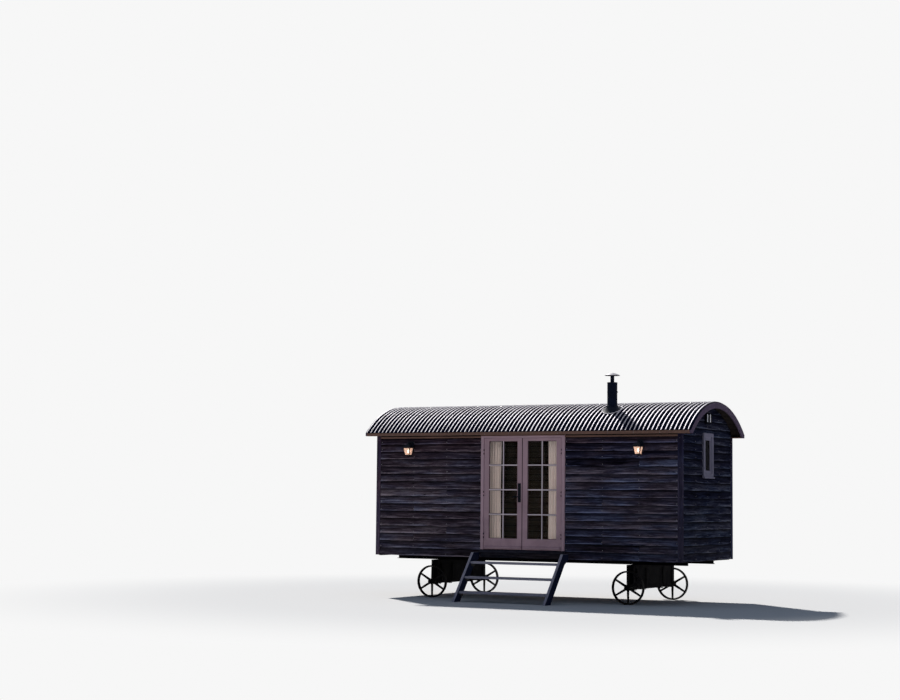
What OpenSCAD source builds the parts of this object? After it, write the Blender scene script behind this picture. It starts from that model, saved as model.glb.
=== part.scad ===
// Shepherds hut: a timber hut on cast spoked wheels, with a curved corrugated roof,
// lapped board walls, glazed double doors, a flight of steps, wall lanterns and a flue.
// X runs along the front, Y from the front to the back, Z up. The ground is at Z = 0.

/* [Body] */
// Length over the boards of the two ends
body_length = 5570; // [4800:10:6200]
// Width over the boards of the front and the back
body_width = 2300; // [2100:10:2500]
// Height of the lowest board edge above the ground
skirt_height = 700; // [660:5:760]
// Height of the eaves soffit above the ground
eaves_height = 2718; // [2660:1:2800]
// Thickness of the framed walls inside the boards
wall_t = 95; // [80:1:120]

/* [Boards] */
// Height of each lapped board that shows
board_exposure = 125; // [100:1:160]
// Thickness of a board at its lower edge
board_t = 25; // [20:1:32]
// Thickness of a board where the next one covers it
board_top_t = 9; // [6:1:14]
// Width of the corner boards
corner_board_w = 70; // [55:1:90]
// How far the corner boards stand proud of the lapped boards
corner_board_proud = 4; // [2:1:10]

/* [Floor and chassis] */
// Thickness of the floor panel
floor_t = 80; // [70:1:110]
// How far the boards lap down over the edge of the floor
floor_lap = 40; // [10:1:50]
// Height of the floor bearers
bearer_h = 50; // [40:1:80]
// Width of the floor bearers
bearer_w = 50; // [40:1:70]
// Greatest distance between two floor bearers
bearer_spacing = 450; // [350:10:600]
// Height of the chassis rails
rail_h = 60; // [50:1:120]
// Width of the chassis rails
rail_w = 60; // [40:1:80]
// Wall thickness of the channel section rails
rail_web = 8; // [6:1:12]
// Distance between the middles of the two rails
rail_spacing = 1200; // [1000:10:1400]

/* [Wheels and axles] */
// Radius of the wheels
wheel_r = 270; // [255:1:290]
// Width of the wheel rim
rim_w = 72; // [55:1:90]
// Thickness of the wheel rim
rim_t = 14; // [10:1:20]
// Number of spokes
spoke_count = 6; // [4:1:7]
// Width of a spoke at the hub
spoke_w = 40; // [30:1:42]
// Width of a spoke at the rim
spoke_end_w = 30; // [24:1:36]
// Radius of the wheel hub
hub_r = 48; // [40:1:60]
// Length of the wheel hub
hub_length = 130; // [110:1:150]
// Radius of the axle ends
axle_r = 21; // [18:1:26]
// Running clearance between an axle end and its hub
axle_clearance = 0.3; // [0.2:0.1:0.6]
// Side of the square axle bar
axle_bar = 70; // [56:1:80]
// Width of the timber bed on each axle
axle_bed_w = 120; // [90:1:160]
// Distance between the middles of the left and right axles
wheelbase = 3580; // [3200:10:3900]
// Distance between the middles of the front and back wheels
track = 1900; // [1800:10:1960]

/* [Roof] */
// Height of the ridge above the ground
ridge_height = 3277; // [3220:1:3360]
// How far the sheets reach past the front and back boards
eave_overhang = 100; // [80:1:130]
// How far the bargeboards stand past the end boards
verge_overhang = 185; // [150:1:220]
// Distance between two crests of the corrugated sheets
corrugation_pitch = 76.2; // [70:0.1:90]
// Depth of the corrugations
corrugation_depth = 19; // [14:1:22]
// Thickness of the sheet metal
sheet_t = 1.5; // [1:0.1:3]
// Thickness of the curved roof deck
deck_t = 45; // [30:1:60]
// Height of the eaves fascia that shows below the sheets
fascia_h = 62; // [50:1:100]
// Thickness of the fascia boards
fascia_t = 22; // [18:1:30]
// Depth of the bargeboards
barge_depth = 96; // [80:1:120]
// Thickness of the bargeboards
barge_t = 25; // [20:1:35]
// Thickness of the soffit boards
soffit_t = 15; // [10:1:20]
// Height of the thin batten at the top of the boards
frieze_h = 28; // [20:1:40]
// Height of the shadow gap between the batten and the soffit
frieze_gap = 16; // [10:1:30]

/* [Double doors] */
// Width over the door frame
door_frame_w = 1532; // [1400:2:1700]
// Width of the jambs seen from the front
jamb_w = 55; // [45:1:70]
// Height of the frame head
head_h = 48; // [35:1:60]
// Height of the threshold top above the lowest board edge
sill_rise = 132; // [125:1:150]
// Height of the threshold nosing
sill_h = 46; // [40:1:56]
// How far the door frame stands proud of the boards
frame_proud = 15; // [10:1:25]
// Thickness of the door leaves
leaf_t = 44; // [38:1:50]
// Clearance round each leaf
leaf_gap = 5; // [5:0.5:8]
// Clearance between the two leaves
meeting_gap = 6; // [5:0.5:9]
// How far the leaves sit behind the face of the frame
leaf_recess = 8; // [4:1:12]
// Width of the leaf stiles
stile_w = 90; // [75:1:110]
// Height of the top rail of a leaf
top_rail_h = 48; // [45:1:80]
// Height of the bottom rail of a leaf
bottom_rail_h = 180; // [140:1:240]
// Width of the glazing bars
bar_w = 18; // [16:1:30]
// Depth of the glazing bars
bar_t = 30; // [20:1:34]
// Panes across a leaf
pane_columns = 2; // [1:1:3]
// Panes up a leaf
pane_rows = 4; // [2:1:6]
// Thickness of the glass
glass_t = 6; // [4:1:12]
// Radius of a hinge knuckle
knuckle_r = 6; // [5:0.5:8]
// Height of a hinge
hinge_h = 90; // [75:1:120]
// Radius of a hinge pin
hinge_pin_r = 2.5; // [2:0.1:3]
// Height of the handle plate
handle_plate_h = 300; // [220:1:340]
// Height of the lever above the threshold
lever_height = 870; // [820:5:1050]

/* [End windows] */
// Width over the trim of an end window
window_w = 440; // [360:2:560]
// Height over the trim of an end window
window_h = 720; // [600:2:800]
// Distance of the window trim's top below the ridge
window_drop = 517; // [480:1:640]
// Width of the window trim
window_trim_w = 58; // [45:1:70]
// Width of the sash round the glass
sash_w = 52; // [40:1:60]
// Width of the small light in the gable
gable_light_w = 260; // [200:2:300]
// Height of the small light in the gable
gable_light_h = 170; // [130:1:180]
// Gap between the window trim and the small light
gable_light_gap = 160; // [120:5:170]

/* [Lanterns] */
// Distance of the lanterns from the middle of the hut
lantern_x = 2097; // [1900:1:2200]
// Distance of the middle of the lantern glass below the eaves
lantern_drop = 268; // [230:1:320]
// Width of a lantern at its top
lantern_w = 128; // [110:1:160]
// Height of the lantern glass
lantern_glass_h = 130; // [110:1:160]
// Distance of the lantern's middle from the boards
lantern_reach = 125; // [110:1:160]

/* [Flue] */
// Distance of the flue from the middle of the hut
flue_x = 1400; // [1000:5:1500]
// Distance of the flue in front of the ridge
flue_y = 700; // [500:5:760]
// Outer radius of the flue pipe
flue_r = 82; // [65:1:90]
// Wall thickness of the flue pipe
flue_wall = 4; // [3:0.5:8]
// Height of the flue pipe's top above the ridge
flue_top_rise = 300; // [200:5:500]
// Radius of the flue cap
flue_cap_r = 125; // [100:1:150]
// Gap between the pipe and its cap
flue_cap_gap = 110; // [80:1:140]

/* [Steps] */
// How far the feet of the steps stand in front of the boards
step_run = 870; // [800:5:1100]
// Distance from the middle of the doors to the outer face of a stringer
step_half_w = 834; // [700:2:900]
// Level width of a stringer
stringer_w = 205; // [200:1:260]
// Thickness of the stringers
stringer_t = 45; // [35:1:60]
// Number of treads
tread_count = 3; // [2:1:3]
// Height of the lowest tread above the ground
first_tread_z = 170; // [140:5:200]
// Height between two treads
tread_rise = 235; // [200:1:240]
// Depth of a tread
tread_d = 178; // [160:1:190]
// Thickness of a tread
tread_t = 36; // [25:1:50]

/* [Curtains] */
// Distance from the middle of the doors to the drawn edge of a curtain
curtain_inner_x = 420; // [350:5:500]
// Width of a drawn curtain
curtain_w = 320; // [260:5:330]
// Thickness of the gathered folds
curtain_t = 60; // [40:1:70]
// Gap between the wall and the gathered folds
curtain_wall_gap = 40; // [30:1:60]
// Radius of the curtain pole
pole_r = 12; // [8:1:16]

/* [Hidden] */
$fn = 64;

// Paint and material colours as the hut shows them
board_colour = [0.27, 0.24, 0.25];
board_edge_colour = [0.20, 0.18, 0.19];
lining_colour = [0.46, 0.38, 0.29];
taupe_paint = [0.52, 0.46, 0.45];
iron_colour = [0.07, 0.07, 0.08];
roof_colour = [0.70, 0.71, 0.74];
timber_colour = [0.42, 0.34, 0.26];
step_colour = [0.38, 0.41, 0.46];
glass_colour = [0.70, 0.80, 0.82, 0.4];
lamp_glass_colour = [1.00, 0.80, 0.50];
curtain_colour = [0.88, 0.84, 0.76];

// Clearance between curved faces that seat on each other
seat_gap = 0.3;
// A length that reaches past every piece, for cuts and clips
beyond = 8000;

// Plan of the body
half_length = body_length / 2;
half_width = body_width / 2;
frame_half_length = half_length - board_t;
frame_half_width = half_width - board_t;
room_half_length = frame_half_length - wall_t;
room_half_width = frame_half_width - wall_t;

// Heights of the floor and the chassis
floor_bottom_z = skirt_height + floor_lap;
floor_top_z = floor_bottom_z + floor_t;
bearer_bottom_z = floor_bottom_z - bearer_h;
rail_bottom_z = bearer_bottom_z - rail_h;
sill_top_z = skirt_height + sill_rise;
sill_bottom_z = sill_top_z - sill_h;

// Roof arc: the crests pass through the ridge and both sheet edges
sheet_edge_y = half_width + eave_overhang;
sheet_edge_z = eaves_height + fascia_h;
roof_sagitta = ridge_height - sheet_edge_z;
roof_r = (sheet_edge_y * sheet_edge_y + roof_sagitta * roof_sagitta) / (2 * roof_sagitta);
roof_centre_z = ridge_height - roof_r;
roof_half_angle = asin(sheet_edge_y / roof_r);
sheet_under_r = roof_r - corrugation_depth - sheet_t;
deck_outer_r = sheet_under_r - seat_gap;
deck_inner_r = deck_outer_r - deck_t;
wall_top_r = deck_inner_r - seat_gap;
sheet_drip = 15;
soffit_top_z = eaves_height + soffit_t;
frieze_top_z = eaves_height - frieze_gap;
frieze_bottom_z = frieze_top_z - frieze_h;
fascia_outer_y = sheet_edge_y - sheet_drip;
fascia_inner_y = fascia_outer_y - fascia_t;
barge_outer_x = half_length + verge_overhang;
barge_inner_x = barge_outer_x - barge_t;
barge_inner_r = deck_outer_r - barge_depth;

// Cast forms of the wheels
rim_flange_t = 10;
hub_bevel = 12;
spoke_t = 14;
spoke_rib_t = 12;
spoke_rib_h = 44;

// Corrugated profile: whole waves with a crest on the middle of each
wave_steps = 8;
wave_count = floor(2 * (barge_outer_x + sheet_drip / 2) / corrugation_pitch);
sheet_half_length = wave_count * corrugation_pitch / 2;

// Door leaves and frame
frame_face_y = -half_width - frame_proud;
frame_half_w = door_frame_w / 2;
jamb_inner_x = frame_half_w - jamb_w;
head_bottom_z = eaves_height - head_h;
leaf_face_y = frame_face_y + leaf_recess;
leaf_back_y = leaf_face_y + leaf_t;
leaf_bottom_z = sill_top_z + leaf_gap;
leaf_top_z = head_bottom_z - leaf_gap;
leaf_outer_x = jamb_inner_x - leaf_gap;
leaf_inner_x = meeting_gap / 2;
leaf_w = leaf_outer_x - leaf_inner_x;
leaf_h = leaf_top_z - leaf_bottom_z;
stop_w = 14;
hinge_x = jamb_inner_x - leaf_gap / 2;
hinge_y = frame_face_y - knuckle_r;
hinge_plate_t = leaf_gap * 0.4;
hinge_plate_reach = 30;
hinge_end_distance = 180;
knuckle_gap = 0.5;
pin_clearance = 0.15;
lever_z = sill_top_z + lever_height;
handle_plate_w = 36;
handle_plate_t = 5;
handle_plate_rise = handle_plate_h * 0.72;
lever_length = 105;
lever_r = 8;
lever_stand_off = 38;

// Panes of a leaf
opening_w = leaf_w - 2 * stile_w;
opening_h = leaf_h - top_rail_h - bottom_rail_h;
pane_w = (opening_w - (pane_columns - 1) * bar_w) / pane_columns;
pane_h = (opening_h - (pane_rows - 1) * bar_w) / pane_rows;

// End windows and the small lights above them
window_z = ridge_height - window_drop - window_h;
window_liner_w = window_w - 2 * window_trim_w;
window_liner_h = window_h - 2 * window_trim_w;
window_trim_proud = 16;
window_sill_reach = 34;
window_sill_h = 26;
sash_t = 40;
gable_light_z = window_z + window_h + gable_light_gap;
gable_light_slot_w = 40;
gable_light_slot_h = gable_light_h - 40;
gable_light_slot_x = 62;
gable_light_proud = 22;

// Lantern forms
lantern_z = eaves_height - lantern_drop;
lantern_taper = 0.66;
lantern_bar_t = 7;
lantern_cap_h = 62;
lantern_brim = 12;
lantern_arm_r = 7;
lantern_plate_t = 12;
lantern_plate_w = 76;
lantern_plate_h = 180;
lantern_centre_y = -half_width - lantern_reach;
lantern_top_z = lantern_z + lantern_glass_h / 2;
lantern_bottom_z = lantern_z - lantern_glass_h / 2;

// Flue
flue_roof_z = arc_z(deck_outer_r, flue_y);
flue_bottom_z = arc_z(deck_inner_r, flue_y + flue_r) - 40;
flue_top_z = ridge_height + flue_top_rise;
flue_neck_r = 32;
flue_cap_h = 42;
flashing_margin = 70;
flashing_t = 3;

// Steps
tread_inset = 14;
stringer_inner_x = step_half_w - stringer_t;
step_slope = (step_run - stringer_w) / sill_bottom_z;
heel_drop = 10;
heel_taper = 70;
nosing_reach = 50;

// Curtains
curtain_back_y = -room_half_width + curtain_wall_gap;
pole_y = curtain_back_y + curtain_t / 2;
pole_z = head_bottom_z;
pole_half_length = curtain_inner_x + curtain_w + 70;
pole_bracket_inset = 30;
curtain_floor_gap = 15;

// The plan is shifted so that the origin is under the middle of the whole outline
plan_shift = (half_width + step_run - sheet_edge_y) / 2;

// Height of a circle about the roof's centre at a distance from the middle
function arc_z(r, y) = roof_centre_z + sqrt(r * r - y * y);

// Points of the lapped face of a wall, as [distance out from the wall, height]
function lapped_face(z0, z1) = [
    for (k = [0 : ceil((z1 - z0) / board_exposure) - 1])
        let (
            low = z0 + k * board_exposure,
            high = min(low + board_exposure, z1),
            top_t = board_t - (board_t - board_top_t) * (high - low) / board_exposure
        )
        each [[board_t, low], [top_t, high]]
];

// Radius of the corrugated sheet's upper face along the hut
function wave_r(x) = roof_r - corrugation_depth / 2
    + corrugation_depth / 2 * cos(360 * (x - corrugation_pitch * (wave_count % 2 == 0 ? 0.5 : 0)) / corrugation_pitch);

module on_plan() {
    translate([0, plan_shift, 0]) children();
}

module box(x0, x1, y0, y1, z0, z1) {
    translate([x0, y0, z0]) cube([x1 - x0, y1 - y0, z1 - z0]);
}

// Extrudes an outline of Y and Z between two values of X
module along_x(x0, x1) {
    translate([x0, 0, 0]) rotate([90, 0, 90]) linear_extrude(x1 - x0) children();
}

// Extrudes an outline of X and Z between two values of Y
module along_y(y0, y1) {
    translate([0, y1, 0]) rotate([90, 0, 0]) linear_extrude(y1 - y0) children();
}

module both_ends() {
    for (m = [0, 1]) mirror([m, 0, 0]) children();
}

module both_sides() {
    for (m = [0, 1]) mirror([0, m, 0]) children();
}

module rect(x0, x1, y0, y1) {
    translate([x0, y0]) square([x1 - x0, y1 - y0]);
}

// A disc of the roof's section
module roof_disc(r) {
    translate([0, roof_centre_z]) circle(r = r, $fn = 180);
}

// All that lies below an arc about the roof's centre
module under_roof(r) {
    roof_disc(r);
    rect(-r, r, -beyond, roof_centre_z);
}

// Chassis, floor and axles

module rail_section(y) {
    translate([y, rail_bottom_z]) difference() {
        rect(-rail_w / 2, rail_w / 2, 0, rail_h);
        rect(-rail_w / 2 + rail_web, rail_w, rail_web, rail_h - rail_web);
    }
}

module chassis_rails() {
    color(iron_colour)
        both_sides() along_x(-room_half_length, room_half_length) rail_section(rail_spacing / 2);
}

module floor_bearers() {
    bearer_room = 2 * (frame_half_length - bearer_w);
    bearer_gaps = ceil(bearer_room / bearer_spacing);
    color(timber_colour)
        for (k = [0 : bearer_gaps])
            let (x = -frame_half_length + bearer_w + k * bearer_room / bearer_gaps - bearer_w / 2)
            box(x, x + bearer_w, -frame_half_width, frame_half_width, bearer_bottom_z, floor_bottom_z);
}

module axle(side) {
    x = side * wheelbase / 2;
    bed_half = track / 2 - hub_length / 2 - 12;
    axle_half = track / 2 + hub_length / 2 + 26;
    color(iron_colour) {
        box(x - axle_bed_w / 2, x + axle_bed_w / 2, -bed_half, bed_half, wheel_r + axle_bar / 2, rail_bottom_z);
        box(x - axle_bar / 2, x + axle_bar / 2, -bed_half, bed_half, wheel_r - axle_bar / 2, wheel_r + axle_bar / 2);
        translate([x, axle_half, wheel_r]) rotate([90, 0, 0]) cylinder(r = axle_r, h = 2 * axle_half);
        both_sides() translate([x, track / 2 + hub_length / 2 + 6, wheel_r])
            rotate([-90, 0, 0]) cylinder(r = axle_r + 14, h = 16);
    }
}

// A cast wheel about the Z axis, its outer side up
module cast_wheel() {
    rim_inner_r = wheel_r - rim_t;
    flange_r = rim_inner_r - rim_t;
    spoke_end = (flange_r + rim_inner_r) / 2;
    difference() {
        union() {
            rotate_extrude($fn = 96) {
                rect(rim_inner_r, wheel_r, -rim_w / 2, rim_w / 2);
                rect(flange_r, rim_inner_r, -rim_flange_t / 2, rim_flange_t / 2);
                polygon([
                    [0, -hub_length / 2], [hub_r - hub_bevel, -hub_length / 2], [hub_r, -hub_length / 2 + hub_bevel],
                    [hub_r, hub_length / 2 - 2 * hub_bevel], [hub_r - hub_bevel, hub_length / 2], [0, hub_length / 2],
                ]);
            }
            for (k = [0 : spoke_count - 1]) rotate(90 + k * 360 / spoke_count) {
                spoke_plate(hub_r / 2, spoke_end, spoke_w, spoke_end_w, spoke_t);
                spoke_plate(hub_r / 2, spoke_end, spoke_rib_t, spoke_rib_t, spoke_rib_h);
            }
        }
        translate([0, 0, -hub_length]) cylinder(r = axle_r + axle_clearance, h = 2 * hub_length);
    }
}

// A flat tapering bar along X, centred on the wheel's middle plane
module spoke_plate(x0, x1, w0, w1, t) {
    translate([0, 0, -t / 2]) linear_extrude(t)
        polygon([[x0, -w0 / 2], [x1, -w1 / 2], [x1, w1 / 2], [x0, w0 / 2]]);
}

module wheel(end, side) {
    color(iron_colour)
        translate([end * wheelbase / 2, side * track / 2, wheel_r])
        mirror([0, side > 0 ? 1 : 0, 0]) rotate([90, 0, 0]) cast_wheel();
}

module floor_panel() {
    color(timber_colour)
        box(-frame_half_length, frame_half_length, -frame_half_width, frame_half_width, floor_bottom_z, floor_top_z);
}

// Framed walls

module long_wall_outline() {
    intersection() {
        rect(room_half_width, frame_half_width, floor_top_z, ridge_height);
        under_roof(wall_top_r);
    }
}

module front_wall(side) {
    x0 = side < 0 ? -frame_half_length : frame_half_w;
    x1 = side < 0 ? -frame_half_w : frame_half_length;
    color(lining_colour) mirror([0, 1, 0]) along_x(x0, x1) long_wall_outline();
}

module front_wall_header() {
    color(lining_colour) mirror([0, 1, 0]) along_x(-frame_half_w, frame_half_w)
        intersection() {
            long_wall_outline();
            rect(0, half_width, eaves_height, ridge_height);
        }
}

module back_wall() {
    color(lining_colour) along_x(-frame_half_length, frame_half_length) long_wall_outline();
}

module end_wall(side) {
    color(lining_colour) mirror([side < 0 ? 1 : 0, 0, 0]) along_x(room_half_length, frame_half_length)
        difference() {
            intersection() {
                rect(-room_half_width, room_half_width, floor_top_z, ridge_height);
                under_roof(wall_top_r);
            }
            translate([-window_liner_w / 2, window_z + window_trim_w]) square([window_liner_w, window_liner_h]);
        }
}

// Lapped boards

module lapped_outline(z0, z1) {
    polygon(concat([[0, z0]], lapped_face(z0, z1), [[0, z1]]));
}

module long_boards(x0, x1) {
    along_x(x0, x1) translate([frame_half_width, 0]) lapped_outline(skirt_height, frieze_bottom_z);
}

module front_boards(side) {
    board_end = half_length - corner_board_w;
    color(board_colour) mirror([side < 0 ? 1 : 0, 0, 0]) mirror([0, 1, 0]) long_boards(frame_half_w, board_end);
}

module back_boards() {
    board_end = half_length - corner_board_w;
    color(board_colour) long_boards(-board_end, board_end);
}

module end_boards(side) {
    lower_half = half_width - corner_board_w;
    color(board_colour) mirror([side < 0 ? 1 : 0, 0, 0])
        intersection() {
            along_y(-half_width, half_width)
                translate([frame_half_length, 0]) lapped_outline(skirt_height, ridge_height);
            along_x(frame_half_length - 1, half_length + 1) difference() {
                intersection() {
                    union() {
                        rect(-lower_half, lower_half, skirt_height, ridge_height);
                        rect(-frame_half_width, frame_half_width, eaves_height, ridge_height);
                    }
                    under_roof(wall_top_r);
                }
                rect(-window_w / 2, window_w / 2, window_z, window_z + window_h);
                rect(-gable_light_w / 2, gable_light_w / 2, gable_light_z, gable_light_z + gable_light_h);
            }
        }
}

module corner_boards() {
    outer_x = half_length + corner_board_proud;
    outer_y = half_width + corner_board_proud;
    color(board_edge_colour)
        both_ends() both_sides() difference() {
            box(half_length - corner_board_w, outer_x, half_width - corner_board_w, outer_y, skirt_height, eaves_height);
            box(0, frame_half_length, 0, frame_half_width, 0, ridge_height);
        }
}

module skirt_board() {
    color(board_edge_colour)
        box(-frame_half_w, frame_half_w, -half_width, -frame_half_width, skirt_height, sill_bottom_z);
}

// Roof

module deck_outline(a0, a1) {
    intersection() {
        difference() {
            roof_disc(deck_outer_r);
            roof_disc(deck_inner_r);
        }
        translate([0, roof_centre_z]) polygon([
            [0, 0], [beyond * sin(a0), beyond * cos(a0)], [beyond * sin(a1), beyond * cos(a1)],
        ]);
        rect(-fascia_inner_y, fascia_inner_y, soffit_top_z + seat_gap, ridge_height);
    }
}

module flue_hole(r) {
    translate([flue_x, -flue_y, 0]) cylinder(r = r, h = beyond);
}

module roof_deck(a0, a1) {
    color(timber_colour) difference() {
        along_x(-barge_inner_x, barge_inner_x) deck_outline(a0, a1);
        flue_hole(flue_r + seat_gap);
    }
}

module roof_sheets() {
    xs = [for (k = [0 : wave_count * wave_steps]) -sheet_half_length + k * corrugation_pitch / wave_steps];
    upper = [for (x = xs) [wave_r(x), x]];
    lower = [for (k = [len(xs) - 1 : -1 : 0]) [wave_r(xs[k]) - sheet_t, xs[k]]];
    color(roof_colour) difference() {
        translate([0, 0, roof_centre_z]) rotate([0, 90, 0]) rotate([0, 0, 180 - roof_half_angle])
            rotate_extrude(angle = 2 * roof_half_angle, $fn = 180) polygon(concat(upper, lower));
        flue_hole(flue_r + seat_gap);
    }
}

module eaves_outline() {
    rect(fascia_inner_y, fascia_outer_y, eaves_height, arc_z(deck_outer_r, fascia_outer_y));
    rect(frame_half_width, fascia_outer_y, eaves_height, soffit_top_z);
}

// The batten at the top of the boards, with a shadow gap above it
module frieze(x0, x1) {
    batten_y = half_width + corner_board_proud;
    gap_y = frame_half_width + board_top_t;
    along_x(x0, x1) polygon([
        [frame_half_width, frieze_bottom_z], [batten_y, frieze_bottom_z], [batten_y, frieze_top_z],
        [gap_y, frieze_top_z], [gap_y, eaves_height], [frame_half_width, eaves_height],
    ]);
}

module eaves_front() {
    frieze_end = half_length - corner_board_w;
    color(taupe_paint) mirror([0, 1, 0]) {
        along_x(-barge_inner_x, barge_inner_x) eaves_outline();
        both_ends() frieze(frame_half_w, frieze_end);
    }
}

module eaves_back() {
    frieze_end = half_length - corner_board_w;
    color(taupe_paint) {
        along_x(-barge_inner_x, barge_inner_x) eaves_outline();
        frieze(-frieze_end, frieze_end);
    }
}

module bargeboard(side) {
    lower_z = eaves_height;
    color(taupe_paint) mirror([side < 0 ? 1 : 0, 0, 0]) along_x(barge_inner_x, barge_outer_x)
        intersection() {
            difference() {
                roof_disc(deck_outer_r);
                roof_disc(barge_inner_r);
            }
            rect(-fascia_outer_y, fascia_outer_y, lower_z, ridge_height);
        }
}

// Double doors

module door_frame() {
    color(taupe_paint) {
        both_ends() {
            box(jamb_inner_x, frame_half_w, frame_face_y, -room_half_width, sill_top_z, eaves_height);
            box(jamb_inner_x - stop_w, jamb_inner_x, leaf_back_y + leaf_gap, -room_half_width, sill_top_z, head_bottom_z);
        }
        box(-jamb_inner_x, jamb_inner_x, frame_face_y, -room_half_width, head_bottom_z, eaves_height);
        box(-jamb_inner_x, jamb_inner_x, leaf_back_y + leaf_gap, -room_half_width, head_bottom_z - stop_w, head_bottom_z);
    }
}

module threshold() {
    nosing_y = -half_width - nosing_reach;
    color(taupe_paint) along_x(-frame_half_w, frame_half_w) polygon([
        [nosing_y, sill_bottom_z], [-frame_half_width, sill_bottom_z], [-frame_half_width, floor_top_z],
        [-room_half_width, floor_top_z], [-room_half_width, sill_top_z],
        [frame_face_y, sill_top_z], [nosing_y, sill_top_z - 10],
    ]);
}

// Heights of the lower ends of the hinges
function hinge_heights() = [
    leaf_bottom_z + hinge_end_distance,
    (leaf_bottom_z + leaf_top_z - hinge_h) / 2,
    leaf_top_z - hinge_end_distance - hinge_h,
];

// One third of a hinge barrel with its plate, on the right-hand leaf's hinge line
module hinge_part(z0, z1, plate_x, bore_r) {
    translate([hinge_x, hinge_y, z0]) difference() {
        cylinder(r = knuckle_r, h = z1 - z0, $fn = 40);
        translate([0, 0, -1]) cylinder(r = bore_r, h = z1 - z0 + 2, $fn = 40);
    }
    box(plate_x, plate_x + hinge_plate_t, hinge_y + knuckle_r * 0.7, leaf_face_y + hinge_plate_reach, z0, z1);
}

module door_hinges() {
    third = hinge_h / 3;
    color(iron_colour) both_ends() for (z = hinge_heights()) {
        for (k = [0, 2])
            hinge_part(z + k * third, z + (k + 1) * third, jamb_inner_x - hinge_plate_t, hinge_pin_r / 2);
        translate([hinge_x, hinge_y, z]) cylinder(r = hinge_pin_r, h = hinge_h, $fn = 40);
    }
}

module leaf_knuckles() {
    third = hinge_h / 3;
    for (z = hinge_heights())
        hinge_part(z + third + knuckle_gap, z + 2 * third - knuckle_gap, leaf_outer_x, hinge_pin_r + pin_clearance);
}

// The right-hand leaf, drawn closed
module leaf() {
    bars_y = (leaf_face_y + leaf_back_y - bar_t) / 2;
    opening_x0 = leaf_inner_x + stile_w;
    opening_z0 = leaf_bottom_z + bottom_rail_h;
    along_y(leaf_face_y, leaf_back_y) difference() {
        rect(leaf_inner_x, leaf_outer_x, leaf_bottom_z, leaf_top_z);
        rect(opening_x0, opening_x0 + opening_w, opening_z0, opening_z0 + opening_h);
    }
    if (pane_columns > 1) for (k = [1 : pane_columns - 1])
        let (x = opening_x0 + k * (pane_w + bar_w) - bar_w)
        box(x, x + bar_w, bars_y, bars_y + bar_t, opening_z0, opening_z0 + opening_h);
    if (pane_rows > 1) for (k = [1 : pane_rows - 1])
        let (z = opening_z0 + k * (pane_h + bar_w) - bar_w)
        box(opening_x0, opening_x0 + opening_w, bars_y, bars_y + bar_t, z, z + bar_w);
    leaf_knuckles();
}

module leaf_glass() {
    glass_y = (leaf_face_y + leaf_back_y - glass_t) / 2;
    for (column = [0 : pane_columns - 1]) for (row = [0 : pane_rows - 1])
        let (
            x = leaf_inner_x + stile_w + column * (pane_w + bar_w),
            z = leaf_bottom_z + bottom_rail_h + row * (pane_h + bar_w)
        )
        box(x, x + pane_w, glass_y, glass_y + glass_t, z, z + pane_h);
}

module door_leaf(side) {
    color(taupe_paint) mirror([side < 0 ? 1 : 0, 0, 0]) leaf();
}

module door_glass(side) {
    color(glass_colour) mirror([side < 0 ? 1 : 0, 0, 0]) leaf_glass();
}

// Lever and plate on one face of the left leaf, growing towards -Y
module lever_set(lever_side) {
    plate_x = -leaf_inner_x - stile_w / 2;
    translate([plate_x, 0, lever_z]) {
        box(-handle_plate_w / 2, handle_plate_w / 2, -handle_plate_t, 0,
            handle_plate_rise - handle_plate_h, handle_plate_rise);
        rotate([90, 0, 0]) cylinder(r = lever_r + 4, h = lever_stand_off - 6, $fn = 32);
        rotate([90, 0, 0]) cylinder(r = lever_r, h = lever_stand_off + lever_r, $fn = 32);
        translate([0, -lever_stand_off, 0]) rotate([0, lever_side * 90, 0])
            cylinder(r = lever_r, h = lever_length, $fn = 32);
    }
}

module door_handle() {
    color(iron_colour) {
        translate([0, leaf_face_y, 0]) lever_set(-1);
        translate([0, leaf_back_y, 0]) mirror([0, 1, 0]) lever_set(-1);
    }
}

// End windows

module end_window() {
    outer_z = window_z + window_h;
    glass_x = frame_half_length - sash_t;
    along_x(frame_half_length, half_length + window_trim_proud) difference() {
        rect(-window_w / 2, window_w / 2, window_z, outer_z);
        window_opening(window_trim_w);
    }
    along_x(room_half_length, frame_half_length) difference() {
        rect(-window_liner_w / 2, window_liner_w / 2, window_z + window_trim_w, outer_z - window_trim_w);
        window_opening(window_trim_w + sash_w / 2);
    }
    along_x(glass_x, half_length) difference() {
        rect(-window_liner_w / 2, window_liner_w / 2, window_z + window_trim_w, outer_z - window_trim_w);
        window_opening(window_trim_w + sash_w);
    }
    box(half_length, half_length + window_sill_reach, -window_w / 2 - 8, window_w / 2 + 8,
        window_z - window_sill_h / 2, window_z + window_sill_h / 2);
}

module window_opening(margin) {
    rect(-window_w / 2 + margin, window_w / 2 - margin, window_z + margin, window_z + window_h - margin);
}

module end_windows() {
    color(taupe_paint) both_ends() end_window();
}

module gable_light() {
    along_x(frame_half_length, half_length + gable_light_proud) difference() {
        rect(-gable_light_w / 2, gable_light_w / 2, gable_light_z, gable_light_z + gable_light_h);
        gable_slots();
    }
}

module gable_slots() {
    for (m = [0, 1]) mirror([m, 0])
        translate([gable_light_slot_x - gable_light_slot_w / 2, gable_light_z + (gable_light_h - gable_light_slot_h) / 2])
        square([gable_light_slot_w, gable_light_slot_h]);
}

module gable_lights() {
    color(iron_colour) both_ends() gable_light();
}

module window_glass() {
    glass_x = half_length - sash_t / 2;
    color(glass_colour) both_ends() {
        along_x(glass_x, glass_x + glass_t) window_opening(window_trim_w + sash_w);
        along_x(half_length, half_length + glass_t) gable_slots();
    }
}

// Wall lanterns

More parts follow.
